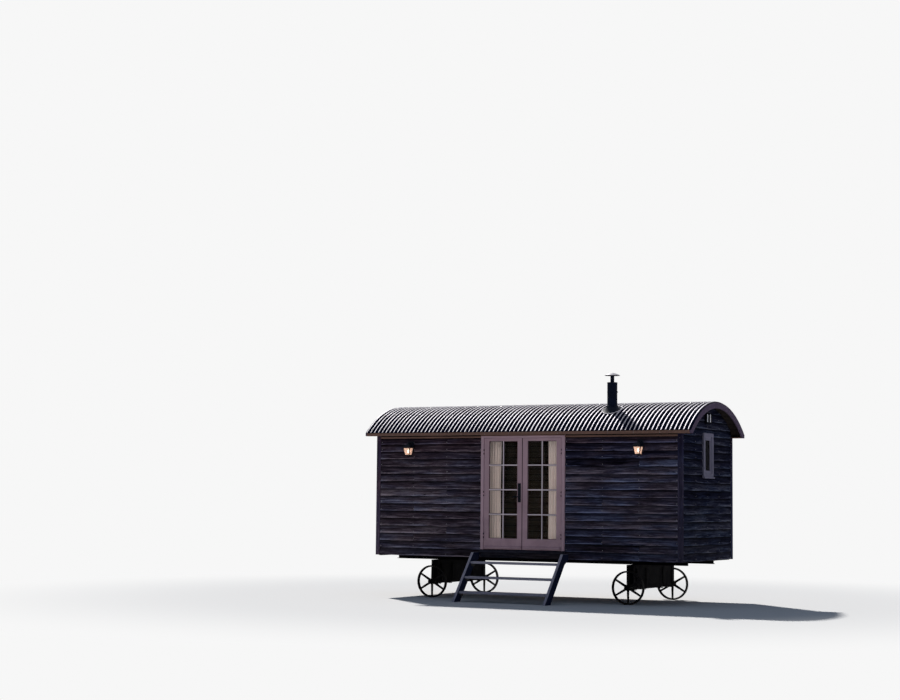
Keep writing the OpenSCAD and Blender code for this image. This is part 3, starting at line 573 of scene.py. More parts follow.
@dataclass(frozen=True)
class WeatheredBoards(Finish):
    """Dark oiled softwood boards gone grey and purple-brown outdoors, bluer in places."""

    dark: Colour = (0.0033, 0.0021, 0.0048)
    middle: Colour = (0.060, 0.043, 0.059)
    pale: Colour = (0.30, 0.25, 0.29)
    dust: Colour = (0.11, 0.10, 0.10)
    # Tint near the top of the walls, and the heights it fades between: partly boards kept from bleaching, partly
    # painted shade of the eaves.
    eaves_shade_and_unbleached: Colour = (0.66, 0.54, 0.56)
    eaves_shade_between: tuple[float, float] = (2.30, 2.62)
    tinge: Colour = (0.62, 0.98, 1.42)
    tinge_share: float = 0.5
    left_side: Colour = WHITE
    turns_left_between: tuple[float, float] = (0.5, -0.5)
    along: Axis | None = None
    gloss: float = 0.005

    def inputs(self, skin: Skin) -> dict[str, Feed]:
        """Boards with no axis of their own carry grain, tone and a mark of painted lap shade and edge highlight as
        point values.

        Args:
            skin: The material's tree.

        Returns:
            What the Principled shader is fed, by input name.
        """
        if self.along is None:
            vector = skin.take("Attribute", "Vector", attribute_name="grain")
            tone, damp_lap_shade_and_edge_light = (skin.take("Attribute", "Fac", attribute_name=mark) for mark in ("tone", "damp_lap_shade_and_edge_light"))
        else:
            vector, tone = skin.along(self.along), skin.noise(skin.own, 1.1, 2.0)
            damp_lap_shade_and_edge_light = skin.span(skin.noise(skin.own, 3.0), 0.55, 0.9, 0.0, 0.4)
        streaks, fibres = skin.grained(vector, 2.2, 42.0, 0.74)
        blotch = skin.noise(skin.stretched(vector, (1.9, 26.0, 34.0)), 1.0, 5.0, 0.66)
        patches = skin.noise(skin.stretched(skin.own, (0.8, 0.8, 1.9)), 1.0, 4.0, 0.6)
        shade = tone * 0.26 + streaks * 0.40 + skin.span(blotch, 0.3, 0.7) * 0.34
        shade += skin.span(patches, 0.35, 0.65, -0.5, 0.5) * 0.10
        # Painted highlight: along each board's lower edge, where the lap mark is below 0, the shade is lifted paler.
        rim = skin.math("POWER", skin.math("MAXIMUM", damp_lap_shade_and_edge_light * -1.0, 0.0), 2.0)
        shade += rim * skin.span(blotch, 0.38, 0.62, 0.02, 0.42)
        colour = skin.ramp(shade, ((0.24, self.dark), (0.5, self.middle), (0.95, self.pale)))
        cells = {"Vector": skin.stretched(vector, (2.6, 1.0, 9.0)), "Scale": 1.0}
        knots = skin.take("TexVoronoi", "Distance", cells, feature="F1")
        colour = skin.blend(skin.span(knots, 0.10, 0.03), colour, self.dark)
        drawn = skin.noise(skin.stretched(vector, (1.5, 48.0, 60.0)), 1.0, 3.0, 0.6)
        checks = skin.span(abs(drawn - 0.5), 0.016, 0.004) * skin.span(patches, 0.40, 0.62, 0.25, 0.9)
        colour = skin.blend(checks, colour, toned(self.dark, 0.5))
        colour = skin.rubbed(colour, self.pale, 0.4, radius=0.004, strength=2.2, patches=9.0)
        # Painted shade under the lap of the board above; on the corner and skirt timber the same mask gives random
        # damp patches.
        damp_and_lap_shade = skin.math("POWER", skin.math("MAXIMUM", damp_lap_shade_and_edge_light, 0.0), 1.9)
        damp_and_lap_shade *= skin.span(patches, 0.35, 0.60, 0.72, 1.0)
        colour = skin.blend(damp_and_lap_shade, colour, toned(self.dark, 0.15))
        colour = skin.dusted(colour, self.dust, 0.16, thick_below=0.6, gone_above=1.5, least=0.05)
        bluer = skin.noise(skin.stretched(vector, (1.1, 3.0, 5.0)), 1.0, 3.0)
        x, _, z = skin.split(skin.own)
        colour = skin.tinted(colour, self.tinge, skin.span(bluer, 0.42, 0.60) * self.tinge_share)
        # Darker and redder near the top of the walls: partly unbleached boards, partly painted shade of the eaves.
        colour = skin.tinted(colour, self.eaves_shade_and_unbleached, skin.span(z, *self.eaves_shade_between))
        colour = skin.tinted(colour, self.left_side, skin.span(x, *self.turns_left_between))
        height = streaks * 0.7 + fibres * 0.5 - checks * 1.2
        return dict(Base_Color=colour, Roughness=skin.span(streaks, 0.0, 1.0, 0.90, 0.74),
                    Normal=skin.bump(height, 0.0016, 0.8), Specular_IOR_Level=self.gloss)


@dataclass(frozen=True)
class PaintedTimber(Finish):
    """Taupe paint over joinery, brushed on, a little rubbed at the edges."""

    paint: Colour
    undercoat: Colour = (0.30, 0.25, 0.25)
    along: Axis = Axis.Z
    dusty: float = 0.35
    splash_and_painted_light: float = 0.5
    gloss: float = 0.05

    def inputs(self, skin: Skin) -> dict[str, Feed]:
        """Brush marks over faded paint, the undercoat where it is worn, and a tone low down: dark splashes on most
        paint, a paler band of painted light on the doors and frames.

        Args:
            skin: The material's tree.

        Returns:
            What the Principled shader is fed, by input name.
        """
        streaks, _ = skin.grained(skin.along(self.along), 3.0, 120.0, 0.4)
        faded = skin.noise(skin.own, 1.7, 4.0)
        colour = skin.blend(skin.span(faded, 0.3, 0.7), toned(self.paint, 0.86), toned(self.paint, 1.14))
        colour = skin.blend(streaks * 0.18, colour, toned(self.paint, 0.7))
        colour = skin.rubbed(colour, self.undercoat, 0.6, radius=0.003, strength=3.2, patches=16.0)
        # Low down the paint takes a share of its own colour: below 1 for dark splashes, above 1 for a paler band that
        # is painted light.
        colour = skin.dusted(colour, toned(self.paint, self.splash_and_painted_light), self.dusty,
                             patches=7.0, thick_below=0.8, gone_above=1.9, least=0.18)
        height = streaks * 0.6 + skin.noise(skin.own, 160.0, 2.0)
        return dict(Base_Color=colour, Roughness=skin.span(faded, 0.3, 0.7, 0.52, 0.68),
                    Normal=skin.bump(height, 0.0005, 0.6), Specular_IOR_Level=self.gloss)


@dataclass(frozen=True)
class DarkMetal(Finish):
    """Painted or cast iron and steel, with dust and a little rust."""

    paint: Colour
    bare: Colour = (0.075, 0.07, 0.068)
    rust: Colour = (0.085, 0.034, 0.014)
    dust: Colour = (0.020, 0.017, 0.016)
    roughness: float = 0.42
    rusty: float = 0.12
    sand: float = 0.0006
    gloss: float = 0.05

    def inputs(self, skin: Skin) -> dict[str, Feed]:
        """Uneven paint, bare at the edges, with specks of rust and dust low down.

        Args:
            skin: The material's tree.

        Returns:
            What the Principled shader is fed, by input name.
        """
        cloud = skin.noise(skin.own, 7.0, 5.0)
        colour = skin.blend(skin.span(cloud, 0.35, 0.7), self.paint, toned(self.paint, 1.9))
        colour = skin.rubbed(colour, self.bare, 0.7, radius=0.003, strength=3.0, patches=30.0)
        specks, grit = skin.specked(0.004, self.rusty)
        colour = skin.blend(specks * 0.8, colour, self.rust)
        colour = skin.dusted(colour, self.dust, 0.5, patches=9.0, thick_below=0.15, gone_above=0.9, least=0.06)
        rough = skin.span(cloud, 0.3, 0.7, self.roughness - 0.06, self.roughness + 0.1) + specks * 0.3
        return dict(Base_Color=colour, Roughness=rough, Normal=skin.bump(grit, self.sand, 0.5),
                    Specular_IOR_Level=self.gloss)


@dataclass(frozen=True)
class GalvanisedSheet(Finish):
    """Corrugated roof sheet: bright crests, duller towards the ridge as painted shade, and dark troughs that widen
    towards the eaves, partly dirt and partly painted shade.

    Each pair of trough colours, dark-band edges and leans gives what holds near the ridge and then what holds at the
    eaves.
    """

    pitch: float
    crest_at: float
    middle_y: float
    half_span: float
    bright: Colour = (0.76, 0.736, 0.797)
    dull: Colour = (0.68, 0.651, 0.710)
    # Duller colour towards the ridge, painted shade that tempers the sunlit top; then the range it fades over and its
    # share.
    ridge_shade: Colour = (0.60, 0.585, 0.615)
    rust: Colour = (0.26, 0.19, 0.15)
    # Trough colours near the ridge and at the eaves: dirt, with painted shade that turns navy at the eaves.
    troughs: tuple[Colour, Colour] = ((0.018, 0.014, 0.022), (0.0015, 0.0040, 0.0180))
    dirt_and_shade_edge: tuple[float, float] = (-0.35, 0.64)
    lean: tuple[float, float] = (0.60, 0.50)
    ridge_shade_between: tuple[float, float] = (0.10, 0.50)
    ridge_shade_share: float = 0.75
    metallic: float = 0.28
    gloss: float = 0.02

    def inputs(self, skin: Skin) -> dict[str, Feed]:
        """The dark band leans off the wave's own trough onto the flank turned from the sun: dirt in the trough,
        painted shade on that flank.

        Args:
            skin: The material's tree.

        Returns:
            What the Principled shader is fed, by input name.
        """
        x, y, _ = skin.split(skin.own)
        down = skin.span(abs(y - self.middle_y), self.half_span * 0.15, self.half_span * 0.97)
        turn = (x - self.crest_at) * (2 * math.pi / self.pitch) + skin.span(down, 0.0, 1.0, *self.lean)
        patches = skin.noise(skin.own, 2.4, 5.0)
        streaks = skin.noise(skin.stretched(skin.own, (26.0, 1.3, 1.3)), 1.0, 5.0, 0.6)
        level = skin.math("COSINE", turn) + skin.span(streaks, 0.3, 0.7, -0.20, 0.20)
        level += skin.span(patches, 0.3, 0.7, -0.12, 0.12)
        edge = skin.span(down, 0.0, 1.0, *self.dirt_and_shade_edge)
        # Painted shade on the flank turned from the sun, and dirt in the trough.
        dirt_and_shade = skin.span(level, edge + 0.20, edge - 0.16, interpolation_type="SMOOTHSTEP")
        cells = skin.take("TexVoronoi", "Color", {"Vector": skin.own, "Scale": 60.0})
        spangled = skin.take("SeparateColor", 0, {0: cells})
        clean = skin.blend(skin.span(streaks, 0.25, 0.6), self.dull, self.bright)
        clean = skin.blend(spangled * 0.14, clean, self.dull)
        specks, _ = skin.specked(0.006, 0.04)
        clean = skin.blend(specks * 0.4, clean, self.rust)
        # Painted shade: duller towards the ridge.
        clean = skin.blend(skin.span(down, *self.ridge_shade_between, self.ridge_shade_share, 0.0), clean, self.ridge_shade)
        colour = skin.blend(dirt_and_shade, clean, skin.blend(skin.span(down, 0.1, 0.75), *self.troughs))
        return dict(Base_Color=colour, Roughness=skin.span(spangled, 0.0, 1.0, 0.50, 0.58) + dirt_and_shade * 0.35,
                    Metallic=skin.span(dirt_and_shade, 0.0, 0.5, self.metallic, 0.0),
                    Normal=skin.bump(streaks, 0.0008, 0.4), Specular_IOR_Level=self.gloss)


@dataclass(frozen=True)
class PlainTimber(Finish):
    """Sawn or planed timber, with its grain along one axis and, where asked, joints between boards."""

    dark: Colour
    pale: Colour
    along: Axis = Axis.X
    board: float = 0.0
    across: Axis = Axis.Y
    groove: float = 0.05
    dusty: float = 0.3
    bleach_and_painted_light: Colour | None = None
    bleach_and_light_from: tuple[float, float, float] = (0.0, -0.76, 0.65)
    gloss: float = 0.02

    def inputs(self, skin: Skin) -> dict[str, Feed]:
        """Each board has a tone of its own, and faces turned up and to the front are paler: bleached, and painted
        light.

        Args:
            skin: The material's tree.

        Returns:
            What the Principled shader is fed, by input name.
        """
        streaks, _ = skin.grained(skin.along(self.along), 1.8, 34.0, 0.55)
        shade, height = streaks, streaks * 0.4
        if self.board:
            count = skin.split(skin.own)[self.across.value] / self.board
            joint = skin.span(skin.math("PINGPONG", count, 0.5), self.groove, self.groove * 0.3)
            number = skin.math("FLOOR", count + 0.5)
            tone = skin.take("TexWhiteNoise", "Value", {"W": number}, noise_dimensions="1D")
            shade, height = shade * 0.6 + tone * 0.45, height - joint * 2.0
        colour = skin.blend(shade, self.dark, self.pale)
        if self.board:
            colour = skin.blend(joint, colour, toned(self.dark, 0.12))
        colour = skin.rubbed(colour, self.pale, 0.5, radius=0.005, strength=3.0, patches=8.0)
        colour = skin.dusted(colour, toned(self.pale, 0.8), self.dusty, thick_below=0.2, gone_above=1.1, least=0.2)
        if self.bleach_and_painted_light:
            # Faces turned up and to the front are paler: bleaching, and painted light.
            bleached_and_lit = skin.span(skin.dot(skin.take("TexCoord", "Normal"), self.bleach_and_light_from), 0.25, 0.8)
            colour = skin.blend(bleached_and_lit * skin.span(streaks, 0.0, 0.8, 0.45, 1.0), colour, self.bleach_and_painted_light)
        return dict(Base_Color=colour, Roughness=skin.span(streaks, 0.0, 1.0, 0.84, 0.7),
                    Normal=skin.bump(height, 0.0014, 0.7), Specular_IOR_Level=self.gloss)


@dataclass(frozen=True)
class Glass(Finish):
    """Window glass, thin and a little dusty, or frosted and lit from inside."""

    tint: Colour = WHITE
    index: float = 1.10
    transmission: float = 1.0
    glow: float = 0.0
    glow_colour: Colour = WHITE
    smear: float = 0.03

    def inputs(self, skin: Skin) -> dict[str, Feed]:
        """A faint wave and smears, and a glow where the glass has one.

        Args:
            skin: The material's tree.

        Returns:
            What the Principled shader is fed, by input name.
        """
        cloud = skin.noise(skin.own, 5.0, 4.0)
        patchy = skin.span(cloud, 0.3, 0.7)
        made = dict(Base_Color=skin.blend(patchy, toned(self.tint, 0.985), self.tint),
                    Roughness=skin.span(cloud, 0.35, 0.75, self.smear * 0.4, self.smear), IOR=self.index,
                    Transmission_Weight=self.transmission,
                    Normal=skin.bump(skin.noise(skin.own, 3.0, 1.0), 0.0006, 0.15))
        if self.glow:
            warm = skin.blend(patchy, self.glow_colour, toned(self.glow_colour, 1.1))
            made |= dict(Emission_Color=warm, Emission_Strength=self.glow)
        return made


@dataclass(frozen=True)
class CurtainCloth(Finish):
    """Cream linen with a plain weave that shows close by, with painted shade in the folds that lie towards the room.
    """

    front_y: float
    back_y: float
    cloth: Colour = (0.97, 0.83, 0.77)
    thread: float = 0.0011
    fold_shade: float = 0.32
    dim_between: tuple[float, float] = (0.35, 0.85)

    def inputs(self, skin: Skin) -> dict[str, Feed]:
        """Warp over weft, with slubs in the yarn.

        Args:
            skin: The material's tree.

        Returns:
            What the Principled shader is fed, by input name.
        """
        x, y, z = skin.split(skin.own)
        turn = 2 * math.pi / self.thread
        weave = skin.math("SINE", (x + y) * turn) * skin.math("SINE", z * turn)
        slub = skin.noise(skin.stretched(skin.own, (220.0, 220.0, 14.0)), 1.0, 3.0)
        colour = skin.blend(skin.span(slub, 0.3, 0.7), toned(self.cloth, 0.86), self.cloth)
        colour = skin.blend(skin.span(weave, -1.0, 1.0, 0.0, 0.12), colour, toned(self.cloth, 0.7))
        # Painted shade: the folds that lie towards the room are darker.
        near, far = (self.front_y + (self.back_y - self.front_y) * share for share in self.dim_between)
        colour = skin.blend(skin.span(y, near, far, 0.0, self.fold_shade), colour, toned(self.cloth, 0.3))
        return dict(Base_Color=colour, Roughness=skin.span(slub, 0.0, 1.0, 0.95, 0.82),
                    Normal=skin.bump(weave + slub * 1.5, 0.0003, 0.5), Sheen_Weight=0.25, Specular_IOR_Level=0.2)


@dataclass(frozen=True)
class BrightMetal(Finish):
    """Zinc, brass or worn steel of nails, screws and rings."""

    clean: Colour = (0.62, 0.61, 0.60)
    dull: Colour = (0.26, 0.25, 0.24)
    metallic: float = 0.8
    roughness: float = 0.38

    def inputs(self, skin: Skin) -> dict[str, Feed]:
        """Clean metal with dull patches and specks.

        Args:
            skin: The material's tree.

        Returns:
            What the Principled shader is fed, by input name.
        """
        cloud = skin.noise(skin.own, 40.0, 4.0)
        specks, grit = skin.specked(0.002, 0.25)
        colour = skin.blend(skin.span(cloud, 0.3, 0.7), self.dull, self.clean)
        return dict(Base_Color=skin.blend(specks * 0.5, colour, self.dull), Metallic=self.metallic,
                    Roughness=skin.span(cloud, 0.3, 0.7, self.roughness + 0.15, self.roughness),
                    Normal=skin.bump(grit, 0.0002, 0.4))


# Planes of the hut


@dataclass(frozen=True)
class Face:
    """One wall: where along, out and up lie in the row frame."""

    side: Side
    plane: float

    def point(self, along: float, out: float, up: float) -> Vector:
        """A point by its distance along the wall, out of the framing and up."""
        depth = self.plane + (out if self.side in (Side.BACK, Side.RIGHT) else -out)
        return Vector((along, depth, up) if self.side in (Side.FRONT, Side.BACK) else (depth, along, up))


@dataclass(frozen=True)
class RoofArc:
    """The curve of the crests, from one sheet edge over the ridge to the other."""

    middle_y: float
    half_span: float
    half_length: float
    ridge_z: float
    rise: float = 0.497
    pitch: float = 0.0762
    depth: float = 0.019

    @classmethod
    def read(cls) -> "RoofArc":
        """Takes the roof's middle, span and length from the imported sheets."""
        low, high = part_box("roof_sheets")
        return cls((low.y + high.y) / 2, (high.y - low.y) / 2, high.x, high.z)

    @property
    def radius(self) -> float:
        """Radius of the crests."""
        return (self.half_span ** 2 + self.rise ** 2) / (2 * self.rise)

    @property
    def centre_z(self) -> float:
        """Height of the curve's centre."""
        return self.ridge_z - self.radius

    @property
    def half_angle(self) -> float:
        """Angle from the ridge to a sheet edge."""
        return math.asin(self.half_span / self.radius)

    @property
    def waves(self) -> int:
        """Number of whole waves along the roof."""
        return round(2 * self.half_length / self.pitch)

    def crest_x(self, number: int) -> float:
        """X of a crest, counted from the left end."""
        return -self.half_length + (number + 0.5) * self.pitch

    def wave(self, x: float) -> float:
        """How far the sheet lies below the crests at a place along the roof."""
        turn = 2 * math.pi * (x - self.crest_x(0)) / self.pitch
        return self.depth * (1 - math.cos(turn)) / 2

    def point(self, x: float, angle: float, radius: float) -> Vector:
        """A point at an angle from the ridge, towards the back where it is positive."""
        return Vector((x, self.middle_y + radius * math.sin(angle), self.centre_z + radius * math.cos(angle)))

    def height(self, y: float, radius: float) -> float:
        """Height of a circle about the roof's centre."""
        return self.centre_z + math.sqrt(max(radius ** 2 - (y - self.middle_y) ** 2, 0.0))


class Palette:
    """Every finish of the hut, each made once."""

    def __init__(self, arc: RoofArc) -> None:
        """Builds the shared effects; finishes are made when they are first asked for.

        Args:
            arc: The roof's curve, whose waves the dirt on the sheets follows.
        """
        self.effects = Effects()
        self.made: dict[str, Material] = {}
        self.finishes = {finish.name: finish for finish in (*self.timbers(), *self.paints(), *self.metals(arc),
                                                            *self.glazing_and_cloth())}

    def timbers(self) -> list[Finish]:
        """The boards and the bare timber.

        Returns:
            Their finishes.
        """
        lining = {"dark": (0.085, 0.052, 0.036), "pale": (0.17, 0.112, 0.078)}
        sawn = {"dark": (0.010, 0.008, 0.0085), "pale": (0.034, 0.027, 0.024)}
        # Steps: dark timber, paler on faces turned up and to the front, which is bleaching and painted light.
        step = {"dark": (0.0060, 0.0105, 0.0330), "pale": (0.0240, 0.0310, 0.0690), "bleach_and_painted_light": (0.46, 0.44, 0.53)}
        return [
            WeatheredBoards("weathered_boards"),
            WeatheredBoards("shaded_boards", dark=(0.0018, 0.0013, 0.0037), middle=(0.038, 0.029, 0.045),
                            pale=(0.24, 0.205, 0.26), tinge_share=0.7),
            # The right end wall's boards: a darker, bluer copy of the same timber, which is painted shade.
            WeatheredBoards("end_boards", dark=(0.0008, 0.0011, 0.0045), middle=(0.0125, 0.0132, 0.0300),
                            pale=(0.110, 0.114, 0.158), eaves_shade_and_unbleached=WHITE, tinge=(0.70, 1.03, 1.28)),
            WeatheredBoards("corner_timber", dark=(0.0145, 0.0125, 0.024), middle=(0.037, 0.033, 0.061),
                            pale=(0.12, 0.108, 0.16), left_side=(1.75, 1.30, 1.12), along=Axis.Z),
            WeatheredBoards("skirt_timber", middle=(0.028, 0.0215, 0.027), pale=(0.095, 0.080, 0.095), along=Axis.X),
            PlainTimber("sawn_timber", **sawn, along=Axis.Y),
            PlainTimber("roof_boards", **sawn, board=0.12),
            PlainTimber("floor_boards", **lining, board=0.12, dusty=0.1),
            PlainTimber("wall_lining", **lining, board=0.1, across=Axis.Z, dusty=0.05),
            PlainTimber("step_timber", **step),
            PlainTimber("stringer_timber", **step, along=Axis.Z),
        ]

    def paints(self) -> list[Finish]:
        """The paint of the joinery and the eaves.

        Returns:
            Their finishes.
        """
        return [
            # Door and frame paint grow paler towards the bottom: painted light.
            PaintedTimber("door_paint", (0.395, 0.266, 0.310), splash_and_painted_light=1.45, dusty=0.5),
            # Putty beads, dark as painted shade of the glazing rebates.
            PaintedTimber("shaded_bead_paint", (0.070, 0.047, 0.055), undercoat=(0.14, 0.10, 0.115)),
            # The glazing bars' faces: a paler copy of the door paint, which is painted highlight.
            PaintedTimber("bar_highlight_paint", (0.74, 0.64, 0.69), undercoat=(0.80, 0.74, 0.76), splash_and_painted_light=0.95),
            PaintedTimber("frame_paint", (0.432, 0.297, 0.350), splash_and_painted_light=1.3),
            PaintedTimber("eaves_paint", (0.176, 0.104, 0.083), undercoat=(0.26, 0.17, 0.15), along=Axis.X,
                          gloss=0.02),
            PaintedTimber("barge_paint", (0.084, 0.061, 0.104), undercoat=(0.16, 0.13, 0.17), along=Axis.Y,
                          gloss=0.02),
            PaintedTimber("window_paint", (0.172, 0.164, 0.228), undercoat=(0.26, 0.25, 0.31), gloss=0.02),
        ]

    def metals(self, arc: RoofArc) -> list[Finish]:
        """The ironwork, the roof sheets and the bright fixings.

        Args:
            arc: The roof's curve.

        Returns:
            Their finishes.
        """
        return [
            DarkMetal("black_metal", (0.0040, 0.0055, 0.0110)),
            DarkMetal("gable_black", (0.0020, 0.0022, 0.0045), bare=(0.02, 0.02, 0.025), roughness=0.7,
                      rusty=0.05, gloss=0.01),
            DarkMetal("flue_black", (0.0030, 0.0050, 0.0130), bare=(0.030, 0.034, 0.045), roughness=0.5,
                      rusty=0.03, gloss=0.03),
            DarkMetal("cast_iron", (0.0055, 0.0050, 0.0060), roughness=0.62, rusty=0.3, sand=0.0012, gloss=0.04),
            DarkMetal("chassis_steel", (0.0016, 0.0014, 0.0028), bare=(0.018, 0.017, 0.017),
                      rust=(0.022, 0.010, 0.006), dust=(0.007, 0.006, 0.006), roughness=0.58, rusty=0.30,
                      sand=0.0009, gloss=0.012),
            DarkMetal("lead_sheet", (0.0060, 0.0085, 0.0170), bare=(0.050, 0.055, 0.070), roughness=0.55,
                      rusty=0.0),
            GalvanisedSheet("galvanised_sheet", arc.pitch, arc.crest_x(0), arc.middle_y, arc.half_span),
            BrightMetal("zinc_screws"),
            BrightMetal("flashing_metal", (0.70, 0.68, 0.74), (0.50, 0.48, 0.53), 0.3, 0.5),
            BrightMetal("cap_metal", (0.40, 0.39, 0.44), (0.26, 0.25, 0.29), 0.2, 0.5),
            BrightMetal("nail_heads", (0.40, 0.39, 0.41), (0.09, 0.085, 0.10), 0.2, 0.6),
            BrightMetal("brass", (0.55, 0.40, 0.18), (0.20, 0.13, 0.06)),
        ]

    def glazing_and_cloth(self) -> list[Finish]:
        """The glass, the lamps and the curtains.

        Returns:
            Their finishes.
        """
        low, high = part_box("curtain_left")
        return [
            Glass("clear_glass"),
            # The end windows' glass is tinted dark blue: painted shade of the room behind it.
            Glass("end_glass", (0.09, 0.10, 0.18), index=1.03, smear=0.01),
            Glass("lamp_glass", (1.0, 0.82, 0.70), index=1.12, transmission=0.75, glow=0.155,
                  glow_colour=(1.0, 0.66, 0.53), smear=0.3),
            Glass("bulb_glass", (1.0, 0.95, 0.88), index=1.3, transmission=0.2, glow=1.8,
                  glow_colour=(1.0, 0.92, 0.83), smear=0.2),
            Glass("frosted_glass", (0.62, 0.62, 0.70), index=1.2, transmission=0.05, smear=0.4),
            CurtainCloth("curtain_cloth", low.y, high.y),
        ]

    def __getitem__(self, name: str) -> Material:
        """The material of a finish.

        Args:
            name: The finish's name.

        Returns:
            The material, which is made when it is first asked for.
        """
        if name not in self.made:
            self.made[name] = self.finishes[name].make(self.effects)
        return self.made[name]

    def piece(self, shape: Shape, name: str, finish: str, slot: Slot, body: str = "hut", bevel: float = 0.0,
              smooth: float = 38.0, stands_for: Sequence[str] = ()) -> Piece:
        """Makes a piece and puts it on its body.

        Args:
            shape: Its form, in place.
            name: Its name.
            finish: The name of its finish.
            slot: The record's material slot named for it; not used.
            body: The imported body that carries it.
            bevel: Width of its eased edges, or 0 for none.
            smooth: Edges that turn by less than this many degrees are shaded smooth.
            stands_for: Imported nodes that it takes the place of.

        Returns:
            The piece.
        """
        made = shape.build(name, self[finish], smooth)
        if bevel:
            ease_edges(made, bevel)
        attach(made, body)
        if stands_for:
            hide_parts(*stands_for)
        return made


# Surroundings


def plainly_seen(wires: Wires) -> Signal:
    """1 for the rays that see a plain backdrop: the camera's, and those that metal and glass send on.

    Args:
        wires: The tree that asks.

    Returns:
        The mask.
    """
    camera, glossy, sent_on = (wires.take("LightPath", f"Is {kind} Ray")
                               for kind in ("Camera", "Glossy", "Transmission"))
    return wires.math("MAXIMUM", camera, wires.math("MAXIMUM", glossy, sent_on))


@dataclass
class Surroundings:
    """Camera, lights, backdrop and floor."""

    camera_at: tuple[float, float, float] = (13.2711, -27.4891, 1.6331)
    azimuth: float = 28.733
    pitch: float = 4.740
    roll: float = 0.550
    lens: float = 72.54
    sensor: float = 36.0
    far_clip: float = 1500.0
    backdrop: float = 0.93
    fill: float = 0.155
    sky: Colour = (0.78, 0.95, 1.24)
    sun: float = 3.95
    sun_angle: float = 2.5
    sun_colour: Colour = (1.0, 0.975, 0.94)
    sun_from: tuple[float, float, float] = (-0.54, 0.49, 0.68)
    floor_colour: Colour = (0.80, 0.80, 0.80)
    floor_half: float = 300.0
    faded_about: tuple[float, float, float] = (0.0, 0.4, 0.0)
    fade_from: float = 5.0
    fade_to: float = 11.0

    def build(self) -> None:
        """Makes everything round the hut."""
        bpy.context.scene.view_settings.view_transform = "Standard"
        self.camera()
        self.world()
        self.lamp()
        self.floor()

    def camera(self) -> None:
        """Stands the camera where the photograph was taken from."""
        turn, tilt, roll = (math.radians(angle) for angle in (self.azimuth, self.pitch, self.roll))
        ahead = Vector((-math.sin(turn), math.cos(turn), 0))
        right = Vector((math.cos(turn), math.sin(turn), 0))
        up = Vector((0, 0, 1))
        look = ahead * math.cos(tilt) + up * math.sin(tilt)
        above = up * math.cos(tilt) - ahead * math.sin(tilt)
        axes = (right * math.cos(roll) + above * math.sin(roll),
                above * math.cos(roll) - right * math.sin(roll), -look)
        data = bpy.data.cameras.new("camera")
        data.lens, data.sensor_width, data.clip_end = self.lens, self.sensor, self.far_clip
        camera = bpy.data.objects.new("camera", data)
        camera.matrix_world = Matrix.Translation(Vector(self.camera_at)) @ Matrix(axes).transposed().to_4x4()
        bpy.context.scene.collection.objects.link(camera)
        bpy.context.scene.camera = camera

    def world(self) -> None:
        """An even sky, which the camera, glass and metal see as a pale backdrop."""
        world = bpy.data.worlds.new("studio")
        bpy.context.scene.world = world
        world.use_nodes = True
        world.node_tree.nodes.clear()
        wires = Wires(world.node_tree)
        sky = wires.take("Background", 0, {"Color": self.sky, "Strength": self.fill})
        pale = wires.take("Background", 0, {"Color": WHITE, "Strength": self.backdrop})
        wires.node("OutputWorld", {"Surface": wires.take("MixShader", 0, {0: plainly_seen(wires), 1: sky, 2: pale})})

    def lamp(self) -> None:
        """A soft sun from behind on the left, as the shadow of the flue shows."""
        data = bpy.data.lights.new("sun", "SUN")
        data.energy, data.color, data.angle = self.sun, self.sun_colour, math.radians(self.sun_angle)
        lamp = bpy.data.objects.new("sun", data)
        lamp.rotation_mode = "QUATERNION"
        lamp.rotation_quaternion = (-Vector(self.sun_from)).to_track_quat("-Z", "Y")
        bpy.context.scene.collection.objects.link(lamp)

    def floor(self) -> None:
        """A pale floor that keeps the hut's shadow and fades into the backdrop far off."""
        material = bpy.data.materials.new("floor")
        material.use_nodes = True
        material.node_tree.nodes.clear()
        wires = Wires(material.node_tree)
        away = wires.take("VectorMath", 0, {0: wires.take("TexCoord", "Object"), 1: self.faded_about},
                          operation="SUBTRACT")
        away = wires.take("VectorMath", "Value", {0: away}, operation="LENGTH")
        faded = wires.span(away, self.fade_from, self.fade_to, interpolation_type="SMOOTHSTEP")
        plain = wires.take("BsdfDiffuse", 0, {"Color": self.floor_colour})
        bright = wires.take("Emission", 0, {"Color": WHITE, "Strength": self.backdrop})
        both = wires.take("MixShader", 0, {0: plainly_seen(wires) * faded, 1: plain, 2: bright})
        wires.node("OutputMaterial", {"Surface": both})
        shape = Shape()
        half = self.floor_half
        shape.loft([[Vector((x, y, 0)) for x in (-half, half)] for y in (-half, half)], closed=False)
        shape.build("floor", material)


# The hut's own pieces


@dataclass(frozen=True)
class Opening:
    """A rectangle that a wall's boards leave free."""

    start: float
    end: float
    low: float
    high: float


@dataclass(frozen=True)
class Wall:
    """A stretch of lapped boards on one wall, and its narrower part below the eaves if it has one."""

    node: str
    face: Face
    start: float
    end: float
    low: float
    high: float
    studs: list[float]
    openings: Sequence[Opening] = ()
    finish: str = "weathered_boards"
    ceiling: Callable[[float], float] | None = None
    shoulder: tuple[float, float] | None = None


@dataclass(frozen=True)
class Course:
    """One course of a wall's boards, between its lower and its upper line."""

    wall: Wall
    low: float
    high: float


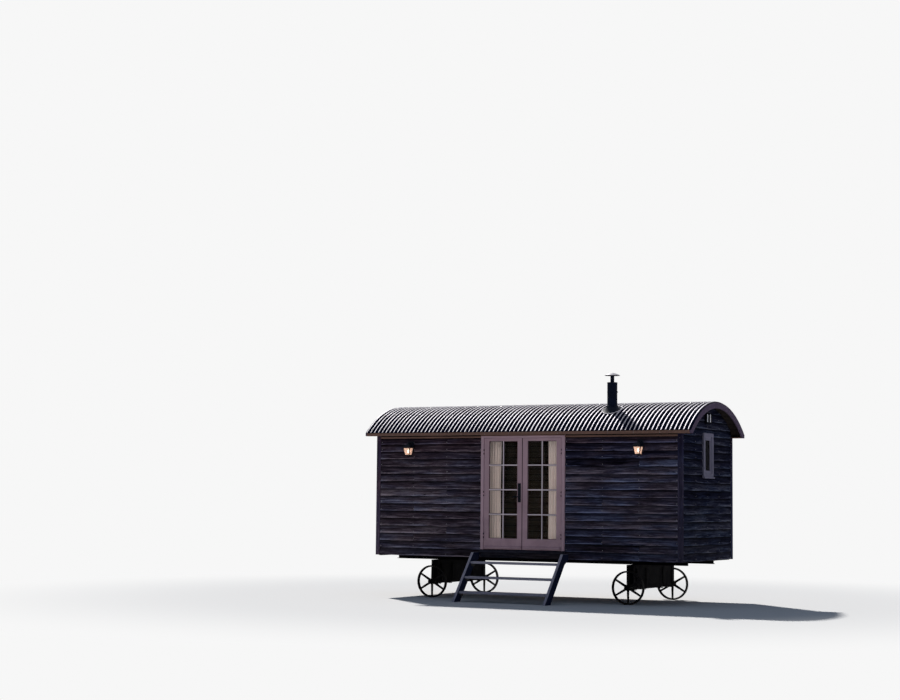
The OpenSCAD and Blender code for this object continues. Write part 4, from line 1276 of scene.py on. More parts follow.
@dataclass
class LappedBoards:
    """Waney lapped boards, butted on the studs and nailed through each lap."""

    palette: Palette
    arc: RoofArc
    exposure: float = 0.125
    lap: float = 0.016
    edge_t: float = 0.0238
    top_t: float = 0.009
    under_t: float = 0.0104
    least_edge: float = 0.006
    wane: float = 0.0085
    cup: float = 0.0045
    step: float = 0.032
    least_height: float = 0.008
    least_board: float = 0.3
    long_course: float = 3.0
    butt_gap: float = 0.003
    stud_gap: float = 0.653
    half_stud: float = 0.022
    end_bays: int = 4
    shoulder_w: float = 0.045
    deck_t: float = 0.048
    nail_r: float = 0.0062
    nail_rise: float = 0.034
    nail_stray: tuple[float, float] = (0.006, 0.004)
    frame_t: float = 0.025
    clear: float = 0.0006
    edge_gap: float = 0.0004
    # For each point of a board's outline: 1 paints shade under the lap above, -1 paints a highlight along the lower
    # edge.
    damp_lap_shade_and_edge_light: tuple[float, ...] = (1.0, 1.0, 0.5, 0.0, -1.0, -0.8, 0.8, 1.0, 1.0)

    def build(self) -> list[Piece]:
        """Makes the boards and nails of every wall.

        Returns:
            Two pieces for each wall.
        """
        pieces = []
        for wall in (*self.long_walls(), *self.end_walls()):
            chance = random.Random(wall.node)
            boards, nails = Shape(), Shape()
            boards.marks = {"grain": [], "tone": [], "damp_lap_shade_and_edge_light": []}
            for number in range(math.ceil((wall.high - wall.low) / self.exposure - 0.001)):
                low = wall.low + number * self.exposure
                self.lay(Course(wall, low, min(low + self.exposure, wall.high)), boards, nails, chance)
            pieces += [self.palette.piece(boards, wall.node + "_laid", wall.finish, Slot.WEATHERED_BOARDS,
                                          smooth=40, stands_for=[wall.node]),
                       self.palette.piece(nails, wall.node + "_nails", "nail_heads", Slot.BLACK_METAL)]
        return pieces

    def long_walls(self) -> list[Wall]:
        """The front wall on either side of the doors, and the back wall.

        Returns:
            Their boards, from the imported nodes.
        """
        walls = []
        for node, side in (("front_boards_left", Side.FRONT), ("front_boards_right", Side.FRONT),
                           ("back_boards", Side.BACK)):
            low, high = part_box(node)
            face = Face(side, high.y if side is Side.FRONT else low.y)
            count = max(round((high.x - low.x) / self.stud_gap), 1)
            studs = spread(low.x + self.half_stud, high.x - self.half_stud, count)
            finish = "shaded_boards" if node.endswith("right") else "weathered_boards"
            walls.append(Wall(node, face, low.x, high.x, low.z, high.z, studs, finish=finish))
        return walls

    def end_walls(self) -> list[Wall]:
        """Both end walls, under the curve of the roof and round the window and the gable light.

        Returns:
            Their boards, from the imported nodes.
        """
        window_low, window_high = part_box("end_windows")
        light_low, light_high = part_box("gable_lights")
        gaps = (Opening(window_low.y + SILL_SIDE, window_high.y - SILL_SIDE, window_low.z + SILL_DROP, window_high.z),
                Opening(light_low.y, light_high.y, light_low.z, light_high.z))
        walls = []
        for node, side in (("left_end_boards", Side.LEFT), ("right_end_boards", Side.RIGHT)):
            low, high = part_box(node)
            face = Face(side, high.x if side is Side.LEFT else low.x)
            start, end = low.y + self.shoulder_w, high.y - self.shoulder_w
            studs = spread(start + self.half_stud, end - self.half_stud, self.end_bays)
            # The right end takes the darker, bluer copy of the boards, which is painted shade.
            finish = "end_boards" if side is Side.RIGHT else "weathered_boards"
            walls.append(Wall(node, face, low.y, high.y, low.z, high.z, studs, gaps, finish, self.ceiling,
                              (start, end)))
        return walls

    def ceiling(self, along: float) -> float:
        """Height of the roof deck's underside over an end wall."""
        return self.arc.height(along, self.arc.radius - self.arc.depth - self.deck_t)

    def reach(self, course: Course) -> tuple[float, float]:
        """Where a course starts and ends, between the corner boards as far as these go up."""
        below_eaves = course.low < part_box("corner_boards")[1].z - self.exposure / 2
        return course.wall.shoulder if course.wall.shoulder and below_eaves else (course.wall.start, course.wall.end)

    def lay(self, course: Course, boards: Shape, nails: Shape, chance: random.Random) -> None:
        """Lays one course.

        Args:
            course: The course.
            boards: Takes the boards.
            nails: Takes the nails.
            chance: Source of the choices.
        """
        start, end = self.reach(course)
        studs, ease = course.wall.studs, self.butt_gap / 2
        inner = [stud for stud in studs[1:-1] if start + self.least_board < stud < end - self.least_board]
        count = min(len(inner), 2 if end - start > self.long_course else chance.choice((0, 0, 1)))
        joints = [] if course.wall.openings else sorted(chance.sample(inner, count))
        stops = [start, *joints, end]
        for first, last in zip(stops, stops[1:]):
            self.board(course, first + (ease if first != start else 0), last - (ease if last != end else 0),
                       boards, chance)
        stray = self.nail_stray[0]
        for stud in studs:
            self.nail(course, stud + chance.uniform(-stray, stray), nails, chance)

    def lower_edge(self, course: Course, along: float) -> float:
        """Height of a board's waney lower edge.

        Args:
            course: Its course.
            along: The place.

        Returns:
            The height there.
        """
        plane = course.wall.face.plane
        waves = noise.noise(Vector((along * 1.9, course.low * 37.0, plane * 5.0)))
        ripples = noise.noise(Vector((along * 9.0, course.low * 51.0, plane * 3.0)))
        return course.low + self.wane * (0.75 * waves + 0.45 * ripples) + 0.001

    def lift(self, course: Course, along: float) -> float:
        """How far a cupped board stands off the one below."""
        seed = Vector((along * 2.3, course.low * 29.0, course.wall.face.plane * 11.0))
        return max(0.0, 0.45 + 0.9 * noise.noise(seed)) * self.cup

    def limits(self, course: Course, along: float) -> tuple[float, float, bool]:
        """A board's lowest and highest point at a place along it.

        Args:
            course: Its course.
            along: The place.

        Returns:
            The two heights, and whether the board runs on up behind the next.
        """
        wall, bottom, top = course.wall, self.lower_edge(course, along), course.high
        if course.low <= wall.low + 0.001:
            bottom = max(bottom, wall.low)
        for gap in wall.openings:
            if gap.start < along < gap.end:
                if gap.low <= bottom < gap.high:
                    bottom = gap.high
                elif bottom < gap.low < top:
                    top = gap.low
        if wall.ceiling:
            top = min(top, wall.ceiling(along))
        return bottom, top, top >= course.high - 0.0005 and course.high < wall.high - 0.001

    def board(self, course: Course, start: float, end: float, shape: Shape, chance: random.Random) -> None:
        """Makes one board, in as many parts as the openings leave.

        Args:
            course: Its course.
            start: Where the board starts along the wall.
            end: Where it ends.
            shape: Takes the board.
            chance: Source of its tone and grain.
        """
        tone = chance.betavariate(2.0, 2.3)
        shift = Vector((chance.uniform(0, 40), chance.uniform(0, 7), chance.uniform(0, 9)))
        places = spread(start, end, max(2, round((end - start) / self.step)))
        for gap in course.wall.openings:
            places += [edge + side for edge in (gap.start, gap.end) if start < edge < end
                       for side in (-self.edge_gap, self.edge_gap)]
        run: list[tuple[Ring, Ring]] = []
        for along in sorted(places):
            bottom, top, tucked = self.limits(course, along)
            if top - bottom < self.least_height:
                self.close_run(run, shape, tone)
                run = []
                continue
            section = self.section(course, along, bottom, top, tucked)
            run.append(([course.wall.face.point(along, out, up) for out, up in section],
                        [Vector((along, out, up - course.low)) + shift for out, up in section]))
        self.close_run(run, shape, tone)

    def section(self, course: Course, along: float, bottom: float, top: float, tucked: bool) -> Outline:
        """A board's outline at one place, from the top of its face down and back up behind.

        Args:
            course: Its course.
            along: The place.
            bottom: The board's lowest point there.
            top: The highest point of its face.
            tucked: Whether it runs on up behind the next.

        Returns:
            Pairs of a distance out and a height.
        """
        lift = self.lift(course, along)
        edge = self.edge_t + 0.0012 * noise.noise(Vector((along * 1.3, course.low * 17.0, 3.0)))
        edge = min(edge - 0.5 * self.cup + 0.5 * lift, self.frame_t)

        def face_out(up: float) -> float:
            """How far out the face lies.

            Args:
                up: The height.

            Returns:
                The distance from the framing.
            """
            share = clamp((up - course.low) / (course.high - course.low))
            ripple = 0.0006 * noise.noise(Vector((along * 5.0, up * 40.0, course.wall.face.plane)))
            return edge + (self.top_t - edge) * share + ripple * math.sin(math.pi * share)

        cut = bottom > course.low + self.wane * 2
        back = self.clear if cut else min(self.under_t + lift, edge - self.least_edge)
        peak = top + self.lap if tucked else top
        facets = [(face_out(up), up) for up in (bottom + (top - bottom) * share for share in (0.66, 0.33))]
        return [(self.top_t - self.clear if tucked else face_out(top), peak),
                (face_out(top), top - (0 if tucked else 0.0004)),
                *facets,
                (face_out(bottom + 0.006), bottom + 0.006),
                (face_out(bottom) - 0.0014, bottom + 0.0018),
                (face_out(bottom) - 0.0045, bottom),
                (back, bottom + 0.0004),
                (0.0005, peak)]

    def close_run(self, run: list[tuple[Ring, Ring]], shape: Shape, tone: float) -> None:
        """Skins the sections that have been gathered, and marks their grain, tone, and painted lap shade and edge
        highlight.

        Args:
            run: The points of each section, and the place of each in the grain.
            shape: Takes the skin.
            tone: The board's tone.
        """
        if len(run) < 2:
            return
        shape.loft([ring for ring, _ in run])
        for _, grain in run:
            shape.marks["grain"] += grain
            shape.marks["tone"] += [tone] * len(grain)
            shape.marks["damp_lap_shade_and_edge_light"] += self.damp_lap_shade_and_edge_light

    def nail(self, course: Course, along: float, shape: Shape, chance: random.Random) -> None:
        """Drives a nail through the lap at a stud, where there is board to take it.

        Args:
            course: The course.
            along: The nail's place along the wall.
            shape: Takes the nail.
            chance: Source of how far it strays.
        """
        stray = self.nail_stray[1]
        up = course.low + self.nail_rise + chance.uniform(-stray, stray)
        bottom, top, _ = self.limits(course, along)
        start, end = self.reach(course)
        if not (bottom + 0.012 < up < top - 0.01 and start < along < end):
            return
        (upper_out, upper), (lower_out, lower) = self.section(course, along, bottom, top, True)[3:5]
        out = lower_out + (upper_out - lower_out) * clamp((up - lower) / (upper - lower))
        face, r = course.wall.face, self.nail_r
        place = facing(face.point(0, 1, 0) - face.point(0, 0, 0), face.point(along, out - self.clear, up))
        shape.turned(((r, 0.0), (r, 0.0010), (r * 0.82, 0.0019), (r * 0.4, 0.0025)), place, 10)


@dataclass
class RoofCovering:
    """Curved corrugated sheets laid side by side, lapped over a wave and screwed through the crests."""

    palette: Palette
    arc: RoofArc
    gauge: float = 0.0011
    cover: int = 10
    lap: float = 1.2
    wave_steps: int = 10
    arc_steps: int = 36
    screw_every: int = 3
    screw_rows: tuple[float, ...] = (-0.715, -0.46, -0.20, 0.20, 0.46, 0.715)
    washer_r: float = 0.0105
    head_r: float = 0.0052

    def build(self) -> list[Piece]:
        """Makes the sheets and their screws."""
        return [self.sheets(), self.screws()]

    def surface(self, x: float, lifted: bool) -> float:
        """Radius of the sheet's upper face."""
        return self.arc.radius - self.arc.wave(x) - (0.0 if lifted else self.gauge)

    def sheets(self) -> Piece:
        """The sheets, each a closed skin of its own.

        Returns:
            All of them as one piece.
        """
        shape, half = Shape(), self.arc.half_angle
        for first in range(0, self.arc.waves, self.cover):
            last = min(first + self.cover, self.arc.waves)
            runs_on = last < self.arc.waves
            steps = (last + runs_on - first) * self.wave_steps
            columns = [(-self.arc.half_length + (first + k / self.wave_steps) * self.arc.pitch,
                        runs_on and k > steps - self.lap * self.wave_steps) for k in range(steps + 1)]
            shape.loft([[self.arc.point(x, angle, self.surface(x, lifted)) for x, lifted in columns]
                        + [self.arc.point(x, angle, self.surface(x, lifted) - self.gauge * 0.9)
                           for x, lifted in reversed(columns)] for angle in spread(-half, half, self.arc_steps)])
        return self.palette.piece(shape, "roof_sheets_laid", "galvanised_sheet", Slot.GALVANISED_SHEET, smooth=60,
                                  stands_for=["roof_sheets"])

    def screws(self) -> Piece:
        """Hexagon screws on dished washers, along each purlin.

        Returns:
            All of them as one piece.
        """
        shape, r, h = Shape(), self.washer_r, self.head_r
        for angle in self.screw_rows:
            for number in range(1, self.arc.waves, self.screw_every):
                at = self.arc.point(self.arc.crest_x(number), angle, self.arc.radius - 0.0004)
                place = facing((0, math.sin(angle), math.cos(angle)), at)
                shape.turned(((r, 0.0), (r, 0.0008), (r * 0.6, 0.0026), (h, 0.0028)), place, 12)
                shape.turned(((h, 0.0026), (h, 0.0062), (h * 0.7, 0.0072)), place, 6)
        return self.palette.piece(shape, "roof_screws", "zinc_screws", Slot.GALVANISED_SHEET)


@dataclass(frozen=True)
class Dress:
    """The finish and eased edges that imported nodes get."""

    finish: str
    ease: float
    nodes: tuple[str, ...]


@dataclass
class PackedPieces:
    """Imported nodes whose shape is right, with their edges eased and their real finish on."""

    palette: Palette
    plan: tuple[Dress, ...] = (
        Dress("chassis_steel", 0.002, ("chassis_rails",)),
        Dress("sawn_timber", 0.003, ("floor_bearers",)),
        Dress("chassis_steel", 0.003, ("left_axle", "right_axle")),
        Dress("cast_iron", 0.002, ("wheel_front_left", "wheel_front_right", "wheel_back_left", "wheel_back_right")),
        Dress("floor_boards", 0.0, ("floor",)),
        Dress("wall_lining", 0.0, ("front_wall_left", "front_wall_right", "front_wall_header", "back_wall",
                                   "left_end_wall", "right_end_wall")),
        Dress("corner_timber", 0.003, ("corner_boards",)),
        Dress("skirt_timber", 0.003, ("skirt_board", "threshold")),
        Dress("roof_boards", 0.0, ("roof_deck_front_low", "roof_deck_front_high", "roof_deck_back_high",
                                   "roof_deck_back_low")),
        Dress("eaves_paint", 0.002, ("eaves_front", "eaves_back")),
        Dress("barge_paint", 0.002, ("bargeboard_left", "bargeboard_right")),
        Dress("frame_paint", 0.0025, ("door_frame",)),
        Dress("door_paint", 0.0025, ("door_left", "door_right")),
        Dress("black_metal", 0.0012, ("door_hinges", "door_handle", "lanterns", "curtain_pole")),
        Dress("gable_black", 0.0012, ("gable_lights",)),
        Dress("window_paint", 0.003, ("end_windows",)),
        Dress("clear_glass", 0.0, ("door_left_glass", "door_right_glass")),
        Dress("end_glass", 0.0, ("window_glass",)),
        Dress("lamp_glass", 0.0, ("lantern_glass",)),
        Dress("flue_black", 0.0, ("flue_pipe", "flue_flashing")),
        Dress("cap_metal", 0.0, ("flue_cap",)),
        Dress("stringer_timber", 0.004, ("step_stringers",)),
        Dress("step_timber", 0.004, ("step_treads",)),
        Dress("curtain_cloth", 0.0, ("curtain_left", "curtain_right")),
    )

    def build(self) -> list[Piece]:
        """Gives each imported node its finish.

        Returns:
            The nodes.
        """
        dressed = []
        for dress in self.plan:
            for node in (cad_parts[name] for name in dress.nodes):
                node.data.materials.clear()
                node.data.materials.append(self.palette[dress.finish])
                if dress.ease:
                    ease_edges(node, dress.ease)
                dressed.append(node)
        return dressed


@dataclass
class Curtains:
    """Two gathered linen curtains that hang from rings on the pole."""

    palette: Palette
    folds: int = 5
    depth: float = 0.023
    ring_r: float = 0.019
    ring_wire: float = 0.0022
    hook_wire: float = 0.0011
    columns_a_fold: int = 18
    rows: int = 44
    hem: float = 0.055
    heading: float = 0.012
    end_gap: float = 0.012
    drawn: tuple[float, float] = (-0.058, 0.050)

    def build(self) -> list[Piece]:
        """Makes both curtains and their rings.

        Returns:
            The cloth and the rings of each.
        """
        pieces = []
        for number, name in enumerate(("curtain_left", "curtain_right")):
            low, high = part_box(name)
            if number:
                low.x -= self.drawn[number]
            else:
                high.x += self.drawn[number]
            rings = self.rings(name, low, high)
            cloth = self.cloth(name, low, high, number)
            high.z - low.z - self.heading
            pieces += [cloth, rings]
        return pieces

    def fold_point(self, low: Vector, high: Vector, number: int, share: float, drop: float) -> Vector:
        """A point of the cloth.

        Args:
            low: Lowest corner of the space that the curtain hangs in.
            high: Its highest corner.
            number: 0 for the left curtain, 1 for the right.
            share: How far along the gathered width, from 0 to 1.
            drop: How far down, from 0 to 1.

        Returns:
            The point.
        """
        wander = 0.10 * noise.noise(Vector((share * 2.5, drop * 1.6, number * 7.0 + 1.0)))
        turn = 2 * math.pi * self.folds * (share + wander * 0.35 * math.sin(math.pi * share))
        swell = 0.80 + 0.20 * math.sin(math.pi * min(drop * 1.3, 1.0))
        swell *= 1 + 0.16 * noise.noise(Vector((share * 6.0, drop * 2.2, number * 3.0)))
        y = (low.y + high.y) / 2 + self.depth * swell * math.sin(turn)
        y += 0.0035 * noise.noise(Vector((share * 14.0, drop * 5.0, number * 11.0)))
        edge = 0.006 + 0.010 * math.sin(math.pi * drop)
        x = low.x + edge + (high.x - low.x - 2 * edge) * share + 0.004 * math.sin(2 * turn) * swell
        z = high.z - self.heading - (high.z - low.z - self.heading) * drop
        return Vector((x, min(max(y, low.y + 0.001), high.y - 0.001), z))

    def cloth(self, name: str, low: Vector, high: Vector, number: int) -> Piece:
        """One curtain, a single sheet with a row of points at its hem.

        Args:
            name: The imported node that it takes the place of.
            low: Lowest corner of its space.
            high: The highest.
            number: 0 for the left curtain, 1 for the right.

        Returns:
            The piece.
        """
        shape, columns = Shape(), self.folds * self.columns_a_fold
        drops = sorted({*spread(0, 1, self.rows), 1 - self.hem / (high.z - low.z)})
        shape.loft([[self.fold_point(low, high, number, share, drop) for share in spread(0, 1, columns)]
                    for drop in drops], closed=False)
        return self.palette.piece(shape, name + "_cloth", "curtain_cloth", Slot.CURTAIN_CLOTH, smooth=80,
                                  stands_for=[name])

    def rings(self, name: str, low: Vector, high: Vector) -> Piece:
        """The rings and the small hooks that the heading hangs from.

        Args:
            name: The curtain.
            low: Lowest corner of its space.
            high: The highest.

        Returns:
            The piece.
        """
        shape, count, r = Shape(), 2 * self.folds, self.ring_r
        centre_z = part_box("curtain_pole")[1].z - r + self.ring_wire
        for k in range(count):
            x = low.x + self.end_gap + (high.x - low.x - 2 * self.end_gap) * (k + 0.5) / count
            centre = Vector((x, (low.y + high.y) / 2, centre_z))
            shape.hoop(centre, (0, r, 0), (0, 0, r), self.ring_wire, 20)
            hook = ((0.0, 0.0), (0.004, 0.006), (0.0, 0.011))
            shape.tube([centre + Vector((0, out, -r - drop)) for out, drop in hook], self.hook_wire, 6)
        return self.palette.piece(shape, name + "_rings", "brass", Slot.BLACK_METAL)


@dataclass
class Joinery:
    """What is fixed to the doors and windows: putty beads, weather bars, screws and lock furniture."""

    palette: Palette
    columns: int = 2
    rows: int = 4
    bar_w: float = 0.018
    bar_t: float = 0.030
    bar_rise: float = 0.003
    bar_section: Outline = ((-1.0, -0.2), (-1.0, 0.25), (-0.72, 0.80), (-0.3, 1.0), (0.3, 1.0), (0.72, 0.80),
                            (1.0, 0.25), (1.0, -0.2))
    cross_bar_share: float = 0.93
    bar_inset: float = 0.001
    bead_w: float = 0.0065
    bead_h: float = 0.0085
    weather_bar: tuple[float, float] = (0.026, 0.046)
    weather_bar_inset: float = 0.022
    weather_bar_rise: float = 0.018
    weather_section: Outline = ((0.0, 0.0), (0.35, 0.02), (0.92, -0.06), (1.0, 0.05), (1.0, 0.30), (0.78, 0.52),
                                (0.40, 0.80), (0.0, 1.0))
    bottom_rail_h: float = 0.180
    hinge_shares: tuple[float, ...] = (0.075, 0.5, 0.925)
    hinge_rises: tuple[float, ...] = (-0.028, 0.0, 0.028)
    hinge_inset: float = 0.030
    hinge_screw_r: float = 0.0034
    seal_lap: float = 0.005
    seal_reach: float = 0.0045
    finger_plate: tuple[float, float] = (0.034, 0.022)
    lever_share: float = 0.28
    lever_end: Outline = ((0.004, 0.0), (-0.004, -0.004), (-0.005, -0.014), (0.003, -0.016))
    rose: Outline = ((0.0165, 0.0), (0.0165, 0.003), (0.0135, 0.006), (0.0125, 0.010))
    keyhole: Outline = ((0.0125, 0.0), (0.0125, 0.0018), (0.0105, 0.003), (0.006, 0.003), (0.005, 0.001))
    bolt_ends: tuple[float, float] = (0.012, 0.150)
    knob: Outline = ((0.0035, 0.0), (0.0035, 0.008), (0.0062, 0.011), (0.0062, 0.016), (0.0035, 0.019))
    sash_w: float = 0.110
    glass_depths: tuple[float, float] = (0.020, 0.026)
    slot_at: float = 0.062
    slot_size: tuple[float, float] = (0.0198, 0.0202)

    def build(self) -> list[Piece]:
        """Makes the fittings of both leaves and of the end windows.

        Returns:
            The pieces.
        """
        pieces = []
        for side, way in (("left", -1), ("right", 1)):
            pieces += [self.beads(side), self.bar_faces(side), self.weather_bars(side), self.hinge_screws(side, way)]
        return [*pieces, self.lock_furniture(), self.meeting_seal(), self.bolts(), self.window_beads(),
                self.gable_panes()]

    def putty(self, shape: Shape, corners: Sequence[Sequence[float]], outward: Sequence[float]) -> None:
        """Runs a mitred bead of putty round the inside of a pane's edge.

        Args:
            shape: Takes the bead.
            corners: The pane's four corners on the face of the glass, in order round it.
            outward: The way that the glass faces.
        """
        rings, points = [], [Vector(corner) for corner in corners]
        up = Vector(outward) * self.bead_h
        for k, corner in enumerate(points):
            before, after = points[k - 1], points[(k + 1) % 4]
            inward = ((before - corner).normalized() + (after - corner).normalized()) * self.bead_w
            rings.append([corner, corner + inward, corner + inward * 0.45 + up * 0.62, corner + up])
        shape.loft(rings, looped=True)

    def panes(self, side: str) -> tuple[Vector, Vector, float, float]:
        """The corners of a leaf's glazed opening, and the steps from pane to pane along and up."""
        low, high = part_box(f"door_{side}_glass")
        return (low, high, (high.x - low.x + self.bar_w) / self.columns, (high.z - low.z + self.bar_w) / self.rows)

    def beads(self, side: str) -> Piece:
        """Putty round the panes of one leaf, on both faces, dark as painted shade of the glazing rebates.

        Args:
            side: The leaf.

        Returns:
            The piece.
        """
        low, high, step_x, step_z = self.panes(side)
        shape = Shape()
        for x0 in (low.x + column * step_x for column in range(self.columns)):
            for z0 in (low.z + row * step_z for row in range(self.rows)):
                x1, z1 = x0 + step_x - self.bar_w, z0 + step_z - self.bar_w
                for y, way in ((low.y, -1), (high.y, 1)):
                    self.putty(shape, ((x0, y, z0), (x1, y, z0), (x1, y, z1), (x0, y, z1)), (0, way, 0))
        return self.palette.piece(shape, f"door_{side}_beads", "shaded_bead_paint", Slot.TAUPE_PAINT, f"{side}_door",
                                  smooth=20)

    def bar_faces(self, side: str) -> Piece:
        """The rounded outer face of each glazing bar, in a paler copy of the door paint that is painted highlight.

        Args:
            side: The leaf.

        Returns:
            The piece.
        """
        low, high, step_x, step_z = self.panes(side)
        shape, half, rise = Shape(), self.bar_w / 2 - self.bar_inset, self.bar_rise
        face_y = (low.y + high.y - self.bar_t) / 2
        for x in (low.x + column * step_x - self.bar_w / 2 for column in range(1, self.columns)):
            shape.loft([[Vector((x + u * half, face_y - v * rise, z)) for u, v in self.bar_section]
                        for z in (low.z + self.bar_inset, high.z - self.bar_inset)])
        rise *= self.cross_bar_share
        for z in (low.z + row * step_z - self.bar_w / 2 for row in range(1, self.rows)):
            shape.loft([[Vector((x, face_y - v * rise, z + u * half)) for u, v in self.bar_section]
                        for x in (low.x + self.bar_inset, high.x - self.bar_inset)])
        return self.palette.piece(shape, f"door_{side}_bar_faces", "bar_highlight_paint", Slot.TAUPE_PAINT, f"{side}_door",
                                  smooth=50)

    def leaf_face(self, side: str) -> float:
        """Y of a leaf's outer face, from the middle of its glass and the leaf's back."""
        low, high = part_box(f"door_{side}_glass")
        return low.y + high.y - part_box(f"door_{side}")[1].y

    def weather_bars(self, side: str) -> Piece:
        """The moulding that throws rain off the foot of a leaf.

        Args:
            side: The leaf.

        Returns:
            The piece.
        """
        low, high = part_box(f"door_{side}")
        face_y, (reach, tall) = self.leaf_face(side), self.weather_bar
        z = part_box(f"door_{side}_glass")[0].z - self.bottom_rail_h + self.weather_bar_rise
        inner, outer = sorted((low.x, high.x), key=abs)
        inset = math.copysign(self.weather_bar_inset, outer)
        shape = Shape()
        shape.loft([[Vector((x, face_y - out * reach, z + up * tall)) for out, up in self.weather_section]
                    for x in (inner + inset, outer - inset)])
        return self.palette.piece(shape, f"door_{side}_weather_bar", "door_paint", Slot.TAUPE_PAINT, f"{side}_door",
                                  0.001, 30)

    def hinge_screws(self, side: str, way: int) -> Piece:
        """Screws of the leaf's own hinge flaps, on the face of the hinge stile.

        Args:
            side: The leaf.
            way: -1 for the left leaf, 1 for the right.

        Returns:
            The piece.
        """
        low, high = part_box("door_hinges")
        shape, x, y = Shape(), way * (high.x - self.hinge_inset), self.leaf_face(side)
        for share in self.hinge_shares:
            for rise in self.hinge_rises:
                shape.screw((x, y, low.z + (high.z - low.z) * share + rise), TO_FRONT, self.hinge_screw_r)
        return self.palette.piece(shape, f"door_{side}_hinge_screws", "black_metal", Slot.BLACK_METAL, f"{side}_door")

    def lock_furniture(self) -> Piece:
        """A finger plate, screws, a rose, the keyhole plate and a scrolled end on the lever.

        Returns:
            The piece.
        """
        low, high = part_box("door_handle")
        x, leaf_y = high.x - 0.018, self.leaf_face("left")
        y, lever_z = leaf_y - 0.005, low.z + (high.z - low.z) * self.lever_share
        shape = Shape()
        for z in (low.z + 0.012, high.z - 0.012, lever_z + 0.05, low.z + 0.030):
            shape.screw((x, y, z), TO_FRONT, 0.0036)
        shape.block((x - self.finger_plate[0], leaf_y - 0.002, low.z - 0.006),
                    (x + self.finger_plate[1], leaf_y + 0.0005, high.z + 0.006))
        shape.turned(self.rose, facing(TO_FRONT, (x, y, lever_z)), 24)
        shape.turned(self.keyhole, facing(TO_FRONT, (x, y, lever_z - 0.052)), 20)
        shape.tube([Vector((low.x + along, low.y + 0.008, lever_z + up)) for along, up in self.lever_end], 0.0055, 10)
        return self.palette.piece(shape, "door_lock_furniture", "black_metal", Slot.BLACK_METAL, "left_door")

    def meeting_seal(self) -> Piece:
        """The dark draught strip on the left leaf, in the gap between the leaves, near-black as painted shade of the
        gap.

        Returns:
            The piece.
        """
        low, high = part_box("door_left")
        y, shape = self.leaf_face("left"), Shape()
        shape.block((high.x - self.seal_lap, y - 0.0010, low.z + 0.002),
                    (high.x + self.seal_reach, y + 0.012, high.z - 0.002))
        return self.palette.piece(shape, "door_meeting_seal", "gable_black", Slot.BLACK_METAL, "left_door")

    def bolts(self) -> Piece:
        """Barrel bolts at the head and foot of the right leaf, inside.

        Returns:
            The piece.
        """
        low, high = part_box("door_right")
        shape, (near, far) = Shape(), self.bolt_ends
        x, y = (low.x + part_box("door_right_glass")[0].x) / 2, high.y
        for z0, z1 in ((low.z + near, low.z + far), (high.z - far, high.z - near)):
            shape.block((x - 0.014, y, z0), (x + 0.014, y + 0.003, z1))
            shape.tube([Vector((x, y + 0.009, z0 + 0.004)), Vector((x, y + 0.009, z1 - 0.004))], 0.0045, 12)
            for z in (z0 + (z1 - z0) * share for share in (0.2, 0.8)):
                shape.block((x - 0.010, y + 0.002, z - 0.009), (x + 0.010, y + 0.015, z + 0.009))
            shape.turned(self.knob, facing((0, 1, 0), (x, y + 0.009, (z0 + z1) / 2)), 14)
        return self.palette.piece(shape, "door_right_bolts", "black_metal", Slot.BLACK_METAL, "right_door", 0.0008)

    def window_beads(self) -> Piece:
        """Putty round the panes of both end windows, on both faces.

        Returns:
            The piece.
        """
        low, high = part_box("end_windows")
        z0, z1 = low.z + SILL_DROP + self.sash_w, high.z - self.sash_w
        y0, y1 = low.y + SILL_SIDE + self.sash_w, high.y - SILL_SIDE - self.sash_w
        shape = Shape()
        for way in (-1, 1):
            for depth, outward in zip(self.glass_depths, (way, -way)):
                x = way * (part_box("window_glass")[1].x - depth)
                self.putty(shape, ((x, y0, z0), (x, y1, z0), (x, y1, z1), (x, y0, z1)), (outward, 0, 0))
        return self.palette.piece(shape, "window_beads", "window_paint", Slot.TAUPE_PAINT, smooth=20)

    def gable_panes(self) -> Piece:
        """Frosted strips in the slots of the small gable lights.

        Returns:
            The piece.
        """
        low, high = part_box("gable_lights")
        shape, (half_w, rim) = Shape(), self.slot_size
        for way in (-1, 1):
            x0, x1 = sorted((way * (high.x - 0.0045), way * (high.x - 0.0015)))
            for y in ((low.y + high.y) / 2 + shift for shift in (-self.slot_at, self.slot_at)):
                shape.block((x0, y - half_w, low.z + rim), (x1, y + half_w, high.z - rim))
        return self.palette.piece(shape, "gable_frosted_panes", "frosted_glass", Slot.CLEAR_GLASS)


